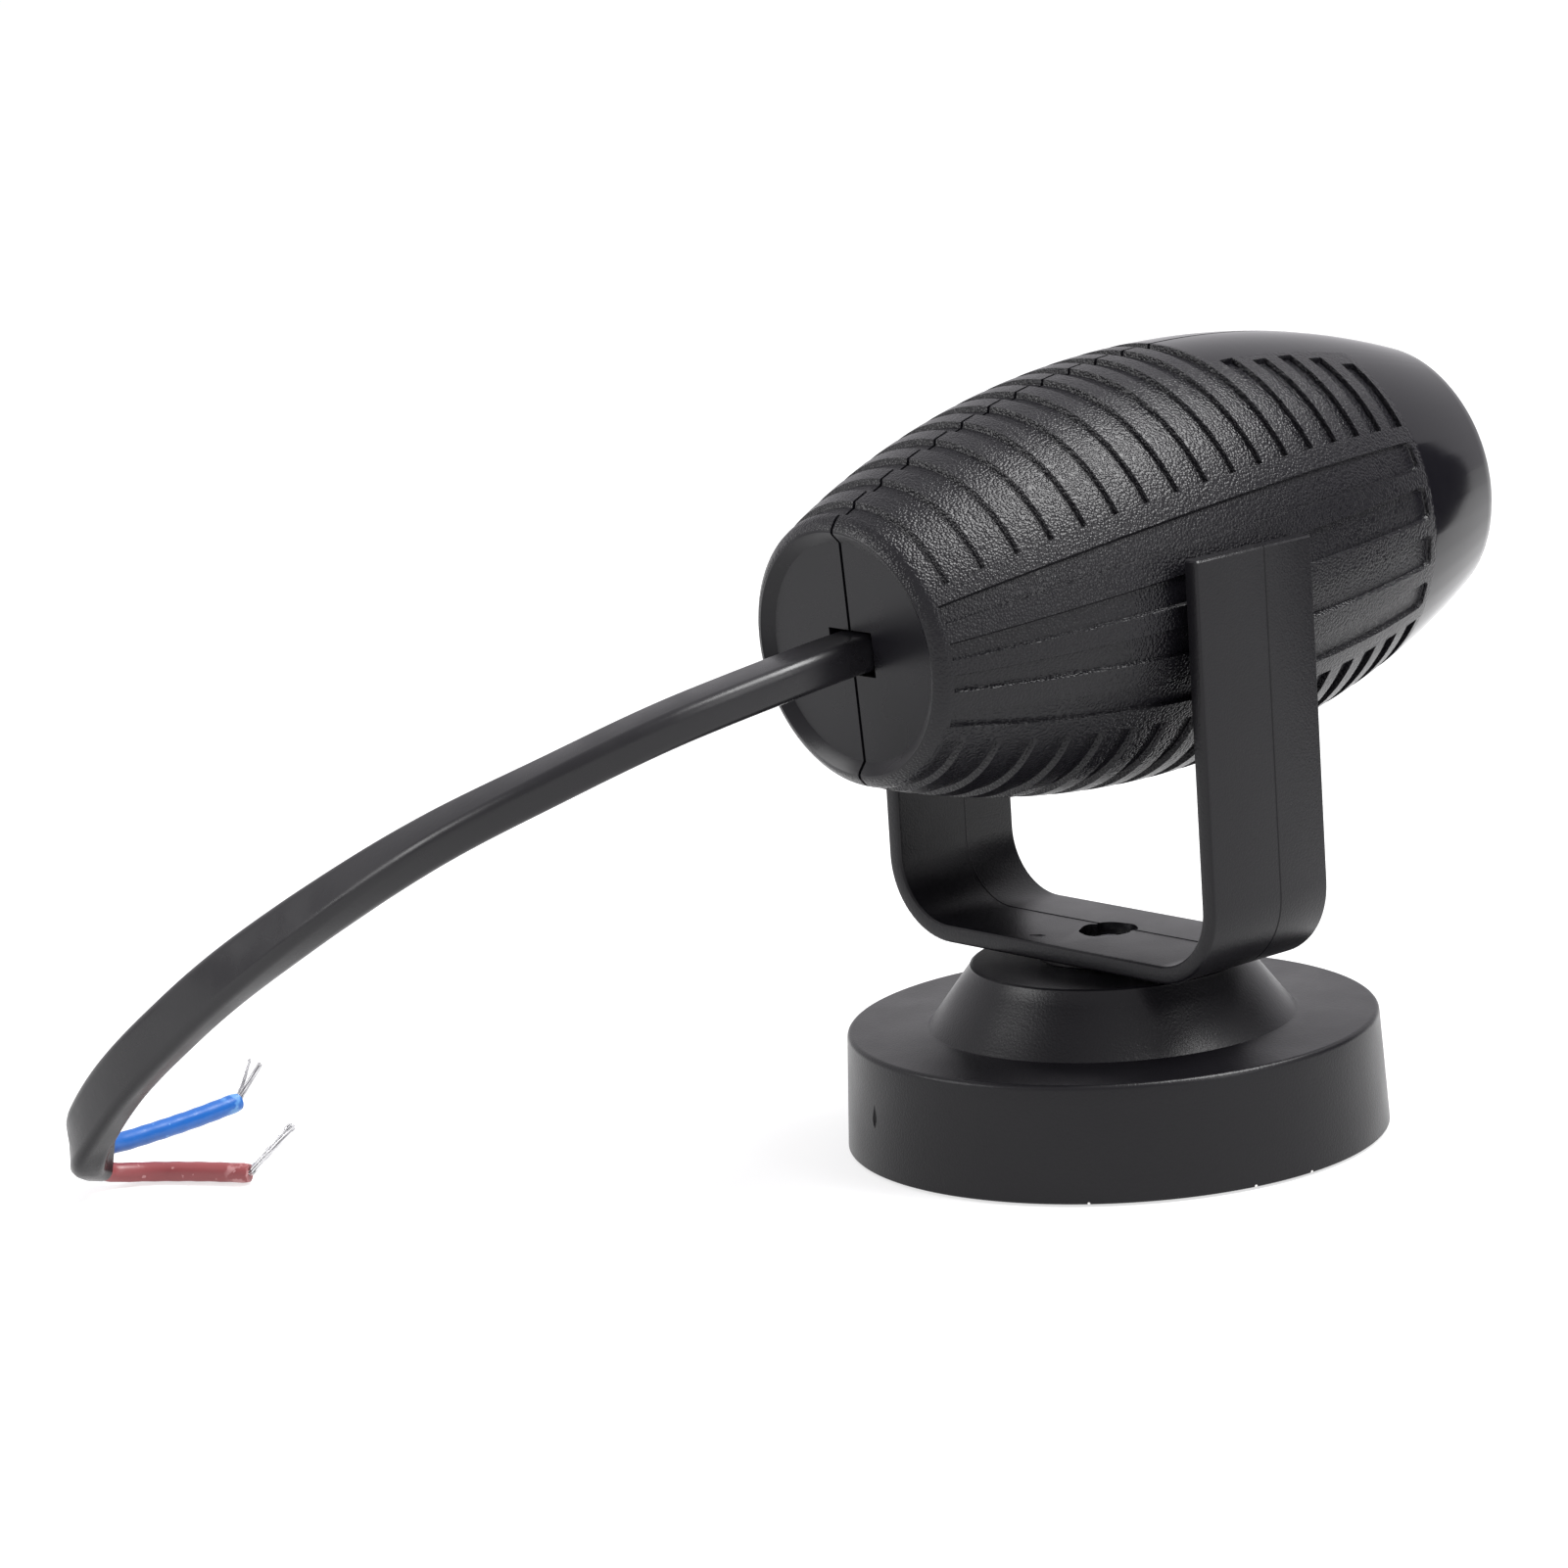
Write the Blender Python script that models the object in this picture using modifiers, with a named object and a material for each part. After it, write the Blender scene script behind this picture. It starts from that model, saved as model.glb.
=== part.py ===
"""Small barrel-shaped spot light on a swivelling U bracket and a round weighted base.

Every piece that comes apart on a bench is its own object.  Lengths are in metres, +Z is up, the lamp
shines towards -Y and its cable leaves at +Y.  The origin is the middle of the foot's underside.
"""
import math

import bmesh
import bpy
from mathutils import Matrix, Vector

# ---- driving dimensions -----------------------------------------------------------------------------

CLEARANCE = 0.0003            # gap left between pieces that touch on the real light
OVERRUN = 0.0010              # how far a cutter or a joined solid runs past a face
ROUND_SIDES = 40              # facets round the large turned pieces
BARREL_SIDES = 32             # facets round the lamp's barrel and lens
SMALL_SIDES = 12              # facets round screws, pins and bosses

# base
BASE_RADIUS = 0.0300
BASE_TOP_RADIUS = 0.0294
BASE_HEIGHT = 0.0132
BASE_EDGE = 0.0006
BASE_WALL = 0.0020
CONE_FOOT_RADIUS = 0.0203
CONE_TOP_RADIUS = 0.0155
CONE_TOP_Z = 0.0201
FOOT_THICKNESS = 0.0010
COVER_THICKNESS = 0.0016
COVER_SCREW_CIRCLE = 0.0242
COVER_POST_RADIUS = 0.0024
COVER_SCREW_RADIUS = 0.0009
COVER_HEAD_RADIUS = 0.0017
COVER_HEAD_HEIGHT = 0.0007
COVER_SEAT_DEPTH = 0.0010
COVER_SHANK_LENGTH = 0.0078
WEIGHT_RADIUS = 0.0208
WEIGHT_BORE = 0.0066

# bracket
BRACKET_WIDTH = 0.0510
BRACKET_THICKNESS = 0.0020
BRACKET_DEPTH = 0.0176
BRACKET_CORNER = 0.0090
BRACKET_TOP_Z = 0.0680
PLATE_Z = 0.02105             # underside of the bracket's plate
SEAT_RADIUS = 0.0080
PLATE_HOLE_RADIUS = 0.00325
SWIVEL_BORE = 0.0022
SWIVEL_SHANK = 0.0019
SWIVEL_HEAD_RADIUS = 0.0037
SWIVEL_HEAD_HEIGHT = 0.0022
SWIVEL_SOCKET_RADIUS = 0.0016
WASHER_RADIUS = 0.0042
WASHER_THICKNESS = 0.0008

# lamp head, in its own frame: origin on the tilt axis, +Y to the rear
PIVOT_Z = 0.0627
REST_NOSE_UP = math.radians(3.8)
LAMP_RADIUS = 0.0232
LAMP_BELLY_Y = -0.0074
LAMP_ARC = 0.1100
LAMP_REAR_Y = 0.0361
LAMP_FRONT_Y = -0.0494
SHELL_WALL = 0.0018
SPLIT_GAP = 0.00015
REAR_DISC_RADIUS = 0.0119
REAR_DISC_DEPTH = 0.0010
REAR_WALL = 0.0020
CABLE_SLOT = (0.0066, 0.0049)  # across, high
PIVOT_PIN_RADIUS = 0.0030
PIVOT_BOSS_RADIUS = 0.0055
PIVOT_BOSS_INNER_X = 0.0170
PIVOT_FLOOR_X = 0.0188
SCREW_PLACES = [(0.0200, 0.0130), (0.0200, -0.0130), (-0.0150, 0.0150), (-0.0150, -0.0150)]
SCREW_BOSS_RADIUS = 0.0038
SCREW_SEAT_X = 0.0060
SCREW_HEAD_RADIUS = 0.0024
SCREW_HEAD_HEIGHT = 0.0017
SCREW_SHANK_RADIUS = 0.0012
SCREW_BORE_DEPTH = 0.0095
LENS_SEAT_RADIUS = 0.0146
LENS_OPENING = 0.0130
LENS_GROOVE_FRONT = -0.0476
LENS_RIB_Y = (-0.0424, -0.0436)
LENS_RIB_RADIUS = 0.0134
LENS_FRONT = -0.0473
LENS_FLANGE_REAR = -0.0461
LENS_BULGE = 0.0032
RIB_THICKNESS = 0.0010
RIB_GAP = 0.0004
BOARD_TOP_Z = -0.0070
BOARD_THICKNESS = 0.0016
BOARD_HALF_WIDTH = 0.0120
BOARD_Y = (-0.0120, 0.0220)
RAIL_Y = (-0.0080, 0.0120)
LED_BOARD_Y = (-0.0271, -0.0256)
LED_BOARD_RADIUS = 0.0105
HEAT_SINK_Y = (-0.0246, -0.0216)
HEAT_SINK_RADIUS = 0.0180
FIN_PITCH = 0.0050
FIN_HALF_THICKNESS = 0.0007
FIN_HEIGHT = 0.0022
FIN_CIRCLE = 0.0150
CLAMP_Y = 0.0280
CLAMP_SCREW_Z = 0.0060
CLAMP_TOP_X = 0.0046
CLAMP_HALF_LENGTH = 0.0080
CLAMP_HALF_WIDTH = 0.0022
CLAMP_SHANK_RADIUS = 0.0009
CLAMP_SHANK_LENGTH = 0.0108
CLAMP_HEAD_RADIUS = 0.0018
CLAMP_HEAD_HEIGHT = 0.0013
CLAMP_BOSS_RADIUS = 0.0026

# cable
CABLE_RADIUS = 0.0021
CABLE_STEP = 0.0045
LEAD_RADIUS = 0.0011
CABLE_ROUTE = [
    (0.0, 0.0240, 0.0611),
    (0.0, 0.0351, 0.0604),
    (0.0004, 0.0455, 0.0592),
    (0.0036, 0.0585, 0.0564),
    (0.0100, 0.0688, 0.0519),
    (0.0200, 0.0768, 0.0460),
    (0.0320, 0.0818, 0.0386),
    (0.0460, 0.0854, 0.0296),
    (0.0565, 0.0872, 0.0220),
    (0.0645, 0.0881, 0.0156),
    (0.0712, 0.0878, 0.0094),
    (0.0742, 0.0866, 0.0060),
    (0.0758, 0.0843, 0.0045),
]
LEAD_STEP = 0.0028
BLUE_ROUTE = [
    (0.0764, 0.0834, 0.0054),
    (0.0773, 0.0805, 0.0047),
    (0.0779, 0.0750, 0.0046),
    (0.0785, 0.0686, 0.0047),
    (0.0791, 0.0623, 0.0050),
]
RED_ROUTE = [
    (0.0758, 0.0843, 0.0029),
    (0.0764, 0.0820, 0.0018),
    (0.0742, 0.0780, 0.0013),
    (0.0697, 0.0748, 0.0013),
    (0.0646, 0.0719, 0.0013),
]
BLUE_STRAND_TIP = (0.0790, 0.0594, 0.0092)
RED_STRAND_TIP = (0.0609, 0.0681, 0.0066)
STRAND_RADIUS = 0.0006


# ---- the scene, collections and materials -----------------------------------------------------------

for old in list(bpy.data.objects):
    bpy.data.objects.remove(old, do_unlink=True)

parts = bpy.data.collections.new("barrel_spot_light")
cutters = bpy.data.collections.new("cutters")
bpy.context.scene.collection.children.link(parts)
bpy.context.scene.collection.children.link(cutters)


def material(name, colour, roughness, metallic=0.0, transmission=0.0):
    """A plain Principled material."""
    mat = bpy.data.materials.new(name)
    mat.use_nodes = True
    shader = mat.node_tree.nodes["Principled BSDF"]
    shader.inputs["Base Color"].default_value = (*colour, 1.0)
    shader.inputs["Roughness"].default_value = roughness
    shader.inputs["Metallic"].default_value = metallic
    shader.inputs["Transmission Weight"].default_value = transmission
    mat.diffuse_color = (*colour, 1.0)
    return mat


# ---- shape helpers ----------------------------------------------------------------------------------

def add_box(bm, low, high):
    """A box between two corners."""
    low = Vector(low)
    high = Vector(high)
    size = high - low
    place = Matrix.Translation((low + high) / 2) @ Matrix.Diagonal((*size, 1.0))
    bmesh.ops.create_cube(bm, size=1.0, matrix=place)


def add_rod(bm, start, end, radius, end_radius=None, sides=SMALL_SIDES):
    """A round bar or cone from start to end."""
    start = Vector(start)
    end = Vector(end)
    along = end - start
    turn = along.to_track_quat("Z", "Y").to_matrix().to_4x4()
    place = Matrix.Translation((start + end) / 2) @ turn
    bmesh.ops.create_cone(
        bm,
        cap_ends=True,
        segments=sides,
        radius1=radius,
        radius2=radius if end_radius is None else end_radius,
        depth=along.length,
        matrix=place,
    )


def smooth_by_angle(mesh, degrees=35.0):
    """Round faces shade smooth and real edges stay sharp."""
    mesh.shade_smooth()
    mesh.set_sharp_from_angle(angle=math.radians(degrees))


def finish(name, bm, mat, parent=None):
    """Turn a bmesh into a named piece of the light."""
    bmesh.ops.recalc_face_normals(bm, faces=bm.faces)
    mesh = bpy.data.meshes.new(name)
    bm.to_mesh(mesh)
    bm.free()
    smooth_by_angle(mesh)
    piece = bpy.data.objects.new(name, mesh)
    piece.data.materials.append(mat)
    piece.parent = parent
    parts.objects.link(piece)
    return piece


def hide_as_cutter(helper):
    """Keep a helper for Boolean modifiers out of the model."""
    helper.hide_render = True
    helper.display_type = "WIRE"
    for home in list(helper.users_collection):
        home.objects.unlink(helper)
    cutters.objects.link(helper)
    return helper


def cutter(name, bm, parent=None):
    """Turn a bmesh into a hidden helper for Boolean modifiers."""
    bmesh.ops.recalc_face_normals(bm, faces=bm.faces)
    mesh = bpy.data.meshes.new(name)
    bm.to_mesh(mesh)
    bm.free()
    helper = bpy.data.objects.new(name, mesh)
    helper.parent = parent
    return hide_as_cutter(helper)


def outline_runs_down(outline):
    """True when a closed outline of (along, radius) runs from high to low on its outer side."""
    pairs = zip(outline, outline[1:] + outline[:1])
    return sum(a[0] * b[1] - b[0] * a[1] for a, b in pairs) > 0


def turned(name, outline, mat=None, parent=None, axis="Z", sides=ROUND_SIDES):
    """A closed outline of (distance along the axis, radius), turned about Z or Y by a Screw modifier."""
    if not outline_runs_down(outline):
        outline = outline[::-1]
    if axis == "Z":
        points = [(radius, 0.0, along) for along, radius in outline]
    else:
        points = [(radius, along, 0.0) for along, radius in outline]
    on_axis = [i for i, (along, radius) in enumerate(outline) if radius == 0.0]
    count = len(points)
    edges = [(i, (i + 1) % count) for i in range(count)]
    edges = [pair for pair in edges if not (pair[0] in on_axis and pair[1] in on_axis)]
    mesh = bpy.data.meshes.new(name)
    mesh.from_pydata(points, edges, [])
    piece = bpy.data.objects.new(name, mesh)
    if mat:
        mesh.materials.append(mat)
    piece.parent = parent
    parts.objects.link(piece)
    screw = piece.modifiers.new("turn", "SCREW")
    screw.axis = axis
    screw.steps = sides
    screw.render_steps = sides
    screw.use_merge_vertices = True
    screw.merge_threshold = 0.000001
    return piece


def boolean(piece, operation, helper):
    """Add an exact Boolean modifier."""
    modifier = piece.modifiers.new(f"{operation.lower()} {helper.name}", "BOOLEAN")
    modifier.operation = operation
    modifier.solver = "EXACT"
    modifier.object = helper


def curve_object(name, points, mat, parent=None):
    """An open poly curve through the points."""
    data = bpy.data.curves.new(name, "CURVE")
    data.dimensions = "3D"
    spline = data.splines.new("POLY")
    spline.points.add(len(points) - 1)
    for target, point in zip(spline.points, points):
        target.co = (*point, 1.0)
    data.materials.append(mat)
    wire = bpy.data.objects.new(name, data)
    wire.parent = parent
    parts.objects.link(wire)
    return wire


def tube(name, points, radius, mat, parent=None):
    """A round tube with closed ends."""
    wire = curve_object(name, points, mat, parent)
    wire.data.bevel_depth = radius
    wire.data.bevel_resolution = 2
    wire.data.use_fill_caps = True
    return wire


def smooth_route(route, step):
    """Points at even distances along a Catmull-Rom curve through the route's own points."""
    ends = [Vector(point) for point in route]
    ends = [2 * ends[0] - ends[1]] + ends + [2 * ends[-1] - ends[-2]]
    fine = []
    pieces = 24
    for a, b, c, d in zip(ends, ends[1:], ends[2:], ends[3:]):
        for i in range(pieces):
            t = i / pieces
            along = (c - a) * t + (2 * a - 5 * b + 4 * c - d) * t**2 + (3 * (b - c) + d - a) * t**3
            fine.append(b + along / 2)
    fine.append(ends[-2])
    length = sum((b - a).length for a, b in zip(fine, fine[1:]))
    count = max(2, round(length / step))
    spaced = [fine[0]]
    travelled = 0.0
    for a, b in zip(fine, fine[1:]):
        hop = (b - a).length
        while len(spaced) < count and travelled + hop >= len(spaced) * length / count:
            share = (len(spaced) * length / count - travelled) / hop
            spaced.append(a.lerp(b, share))
        travelled += hop
    spaced.append(fine[-1])
    return spaced


def slab(name, outline, thickness, mat):
    """A flat outline in the X-Z plane, thickened evenly along Y, as a mesh ready for Booleans."""
    data = bpy.data.curves.new(name + "_outline", "CURVE")
    data.dimensions = "2D"
    data.fill_mode = "BOTH"
    data.extrude = thickness / 2
    spline = data.splines.new("POLY")
    spline.points.add(len(outline) - 1)
    for target, (x, z) in zip(spline.points, outline):
        target.co = (x, z, 0.0, 1.0)
    spline.use_cyclic_u = True
    flat = bpy.data.objects.new(name + "_outline", data)
    flat.rotation_euler.x = math.radians(90)
    parts.objects.link(flat)
    bpy.context.view_layer.update()
    evaluated = flat.evaluated_get(bpy.context.evaluated_depsgraph_get())
    mesh = bpy.data.meshes.new_from_object(evaluated)
    mesh.transform(flat.matrix_world)
    bpy.data.objects.remove(flat, do_unlink=True)
    bm = bmesh.new()
    bm.from_mesh(mesh)
    bpy.data.meshes.remove(mesh)
    bmesh.ops.remove_doubles(bm, verts=bm.verts, dist=1e-6)
    bmesh.ops.dissolve_limit(bm, angle_limit=math.radians(0.5), verts=bm.verts, edges=bm.edges)
    return finish(name, bm, mat)


def arc(centre, radius, start, end, steps):
    """Points on an arc, with angles in degrees."""
    angles = [math.radians(start + (end - start) * i / steps) for i in range(steps + 1)]
    return [(centre[0] + radius * math.cos(a), centre[1] + radius * math.sin(a)) for a in angles]


# ---- base -------------------------------------------------------------------------------------------

def screw_places(circle, count=3):
    """Places of the cover's screws, evenly round a circle."""
    angles = [math.tau * i / count + math.radians(90) for i in range(count)]
    return [(circle * math.cos(a), circle * math.sin(a)) for a in angles]


def build_base(plastic, steel, rubber, screw_steel):
    """Hollow cup with a cone, its ballast, bottom cover, screws and foot pad."""
    ceiling = BASE_HEIGHT - BASE_WALL
    inside = BASE_RADIUS - BASE_WALL
    floor = CLEARANCE
    outside = [
        (floor, BASE_RADIUS),
        (BASE_HEIGHT - BASE_EDGE, BASE_TOP_RADIUS),
        (BASE_HEIGHT - BASE_EDGE * 0.3, BASE_TOP_RADIUS - BASE_EDGE * 0.3),
        (BASE_HEIGHT, BASE_TOP_RADIUS - BASE_EDGE),
        (BASE_HEIGHT, CONE_FOOT_RADIUS),
        (CONE_TOP_Z - 0.0003, CONE_TOP_RADIUS),
        (CONE_TOP_Z, CONE_TOP_RADIUS - 0.0003),
        (CONE_TOP_Z, SWIVEL_BORE),
    ]
    hollow = [
        (CONE_TOP_Z - BASE_WALL, SWIVEL_BORE),
        (CONE_TOP_Z - BASE_WALL, CONE_TOP_RADIUS - BASE_WALL),
        (ceiling, CONE_FOOT_RADIUS - BASE_WALL),
        (ceiling, inside),
        (floor, inside),
    ]
    shell = turned("base_shell", outside + hollow, plastic)

    screw_bore = COVER_SCREW_RADIUS + CLEARANCE
    cover_low = FOOT_THICKNESS + CLEARANCE
    cover_high = cover_low + COVER_THICKNESS
    post_low = cover_high + CLEARANCE
    places = screw_places(COVER_SCREW_CIRCLE)
    bm = bmesh.new()
    for x, y in places:
        add_rod(bm, (x, y, post_low), (x, y, ceiling + OVERRUN), COVER_POST_RADIUS)
    boolean(shell, "UNION", cutter("cover_posts", bm))
    bm = bmesh.new()
    for x, y in places:
        add_rod(bm, (x, y, post_low - OVERRUN), (x, y, ceiling - 0.0005), screw_bore)
    boolean(shell, "DIFFERENCE", cutter("cover_post_bores", bm))

    weight_top = ceiling - CLEARANCE
    turned("base_weight", [
        (post_low, WEIGHT_BORE),
        (post_low, WEIGHT_RADIUS),
        (weight_top, WEIGHT_RADIUS),
        (weight_top, WEIGHT_BORE),
    ], steel)

    rim = inside - CLEARANCE
    cover = turned("base_cover", [
        (cover_low, 0.0),
        (cover_low, rim),
        (cover_high, rim),
        (cover_high, 0.0),
    ], plastic)
    head_bore = COVER_HEAD_RADIUS + CLEARANCE
    bm = bmesh.new()
    for x, y in places:
        add_rod(bm, (x, y, cover_low - OVERRUN), (x, y, cover_low + COVER_SEAT_DEPTH), head_bore)
    boolean(cover, "DIFFERENCE", cutter("cover_screw_seats", bm))
    bm = bmesh.new()
    for x, y in places:
        add_rod(bm, (x, y, cover_low), (x, y, cover_high + OVERRUN), screw_bore)
    boolean(cover, "DIFFERENCE", cutter("cover_screw_holes", bm))

    for number, (x, y) in enumerate(places, start=1):
        seat = (x, y, cover_low + COVER_SEAT_DEPTH - CLEARANCE)
        upwards = (0.0, math.pi, 0.0)
        head = (COVER_HEAD_RADIUS, COVER_HEAD_HEIGHT)
        shank = (COVER_SCREW_RADIUS, COVER_SHANK_LENGTH)
        add_screw(f"cover_screw_{number}", screw_steel, seat, upwards, head, shank)

    turned("foot_pad", [
        (0.0, 0.0),
        (0.0, rim),
        (FOOT_THICKNESS, rim),
        (FOOT_THICKNESS, 0.0),
    ], rubber)


# ---- bracket ----------------------------------------------------------------------------------------

def bracket_outline():
    """The U of the bracket in the X-Z plane, outside then inside."""
    half = BRACKET_WIDTH / 2
    inner_half = half - BRACKET_THICKNESS
    inner_corner = BRACKET_CORNER - BRACKET_THICKNESS
    centre_x = half - BRACKET_CORNER
    centre_z = PLATE_Z + BRACKET_CORNER
    outside = [(half, BRACKET_TOP_Z)]
    outside += arc((centre_x, centre_z), BRACKET_CORNER, 0, -90, 7)
    outside += arc((-centre_x, centre_z), BRACKET_CORNER, -90, -180, 7)
    outside += [(-half, BRACKET_TOP_Z)]
    inside = [(-inner_half, BRACKET_TOP_Z)]
    inside += arc((-centre_x, centre_z), inner_corner, -180, -90, 7)
    inside += arc((centre_x, centre_z), inner_corner, -90, 0, 7)
    inside += [(inner_half, BRACKET_TOP_Z)]
    return outside + inside


def build_bracket(plastic, screw_steel, spring_steel):
    """U bracket with its seat and pivot pins, and the swivel's screw and washer."""
    bracket = slab("bracket", bracket_outline(), BRACKET_DEPTH, plastic)
    inner_half = BRACKET_WIDTH / 2 - BRACKET_THICKNESS
    bm = bmesh.new()
    for side in (-1, 1):
        start = (side * (inner_half + OVERRUN), 0.0, PIVOT_Z)
        end = (side * (PIVOT_FLOOR_X + CLEARANCE), 0.0, PIVOT_Z)
        add_rod(bm, start, end, PIVOT_PIN_RADIUS, sides=24)
    add_rod(bm, (0, 0, CONE_TOP_Z + CLEARANCE), (0, 0, PLATE_Z + OVERRUN), SEAT_RADIUS, sides=32)
    boolean(bracket, "UNION", cutter("bracket_seat_and_pins", bm))
    plate_top = PLATE_Z + BRACKET_THICKNESS
    ledge = plate_top - BRACKET_THICKNESS / 2
    bm = bmesh.new()
    add_rod(bm, (0, 0, PLATE_Z - 3 * OVERRUN), (0, 0, plate_top + OVERRUN), SWIVEL_BORE, sides=24)
    boolean(bracket, "DIFFERENCE", cutter("bracket_hole", bm))
    bm = bmesh.new()
    add_rod(bm, (0, 0, ledge), (0, 0, plate_top + OVERRUN), PLATE_HOLE_RADIUS, sides=24)
    boolean(bracket, "DIFFERENCE", cutter("bracket_counterbore", bm))

    web_low = CONE_TOP_Z - BASE_WALL
    washer_high = web_low - CLEARANCE
    washer_low = washer_high - WASHER_THICKNESS
    turned("swivel_washer", [
        (washer_low, SWIVEL_BORE),
        (washer_low, WASHER_RADIUS),
        (washer_high, WASHER_RADIUS),
        (washer_high, SWIVEL_BORE),
    ], spring_steel, sides=24)

    head_high = washer_low - CLEARANCE
    head_low = head_high - SWIVEL_HEAD_HEIGHT
    edge = 0.0002
    screw = turned("swivel_screw", [
        (head_low, 0.0),
        (head_low, SWIVEL_HEAD_RADIUS - 0.0009),
        (head_low + 0.0008, SWIVEL_HEAD_RADIUS),
        (head_high, SWIVEL_HEAD_RADIUS),
        (head_high, SWIVEL_SHANK),
        (ledge - edge, SWIVEL_SHANK),
        (ledge, SWIVEL_SHANK - edge),
        (ledge, 0.0),
    ], screw_steel, sides=24)
    bm = bmesh.new()
    socket_low, socket_high = head_low - 0.0008, head_high - 0.0010
    add_rod(bm, (0, 0, socket_low), (0, 0, socket_high), SWIVEL_SOCKET_RADIUS, sides=6)
    boolean(screw, "DIFFERENCE", cutter("swivel_screw_socket", bm))


# ---- lamp head --------------------------------------------------------------------------------------

def lamp_radius(y):
    """Outer radius of the barrel, one long arc from rear to front."""
    return LAMP_RADIUS - LAMP_ARC + math.sqrt(LAMP_ARC**2 - (y - LAMP_BELLY_Y) ** 2)


def barrel_line(start, end, steps, inset=0.0):
    """Outline points along the barrel between two places on its axis."""
    places = [start + (end - start) * i / steps for i in range(steps + 1)]
    return [(y, lamp_radius(y) - inset) for y in places]


def barrel_solid():
    """Outline of the closed barrel with its recessed rear disc."""
    disc_y = LAMP_REAR_Y - REAR_DISC_DEPTH
    rear = [
        (disc_y, 0.0),
        (disc_y, REAR_DISC_RADIUS),
        (LAMP_REAR_Y - 0.0001, REAR_DISC_RADIUS + 0.0009),
        (LAMP_REAR_Y, 0.0132),
        (LAMP_REAR_Y - 0.0002, 0.0138),
    ]
    front_edge = 0.0004
    front = [(LAMP_FRONT_Y, lamp_radius(LAMP_FRONT_Y) - front_edge), (LAMP_FRONT_Y, 0.0)]
    return rear + barrel_line(LAMP_REAR_Y - 0.0007, LAMP_FRONT_Y + front_edge, 12) + front


def cavity_solid():
    """Outline of the room inside the barrel, with ribs for the heat sink and a groove for the lens."""
    rear_y = LAMP_REAR_Y - REAR_DISC_DEPTH - REAR_WALL
    rib = HEAT_SINK_RADIUS - 0.0015
    rear_rib = (HEAT_SINK_Y[1] + RIB_GAP + RIB_THICKNESS, HEAT_SINK_Y[1] + RIB_GAP)
    front_rib = (HEAT_SINK_Y[0] - RIB_GAP, HEAT_SINK_Y[0] - RIB_GAP - RIB_THICKNESS)
    line = [(rear_y, 0.0)]
    line += barrel_line(rear_y, rear_rib[0], 7, SHELL_WALL)
    line += [(rear_rib[0], rib), (rear_rib[1], rib)]
    line += barrel_line(rear_rib[1], front_rib[0], 1, SHELL_WALL)
    line += [(front_rib[0], rib), (front_rib[1], rib)]
    line += barrel_line(front_rib[1], LENS_RIB_Y[0], 3, SHELL_WALL)
    line += [(LENS_RIB_Y[0], LENS_RIB_RADIUS), (LENS_RIB_Y[1], LENS_RIB_RADIUS)]
    line += [(LENS_RIB_Y[1], LENS_SEAT_RADIUS), (LENS_GROOVE_FRONT, LENS_SEAT_RADIUS)]
    line += [(LENS_GROOVE_FRONT, LENS_OPENING), (LAMP_FRONT_Y - OVERRUN, LENS_OPENING)]
    line += [(LAMP_FRONT_Y - OVERRUN, 0.0)]
    return line


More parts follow.
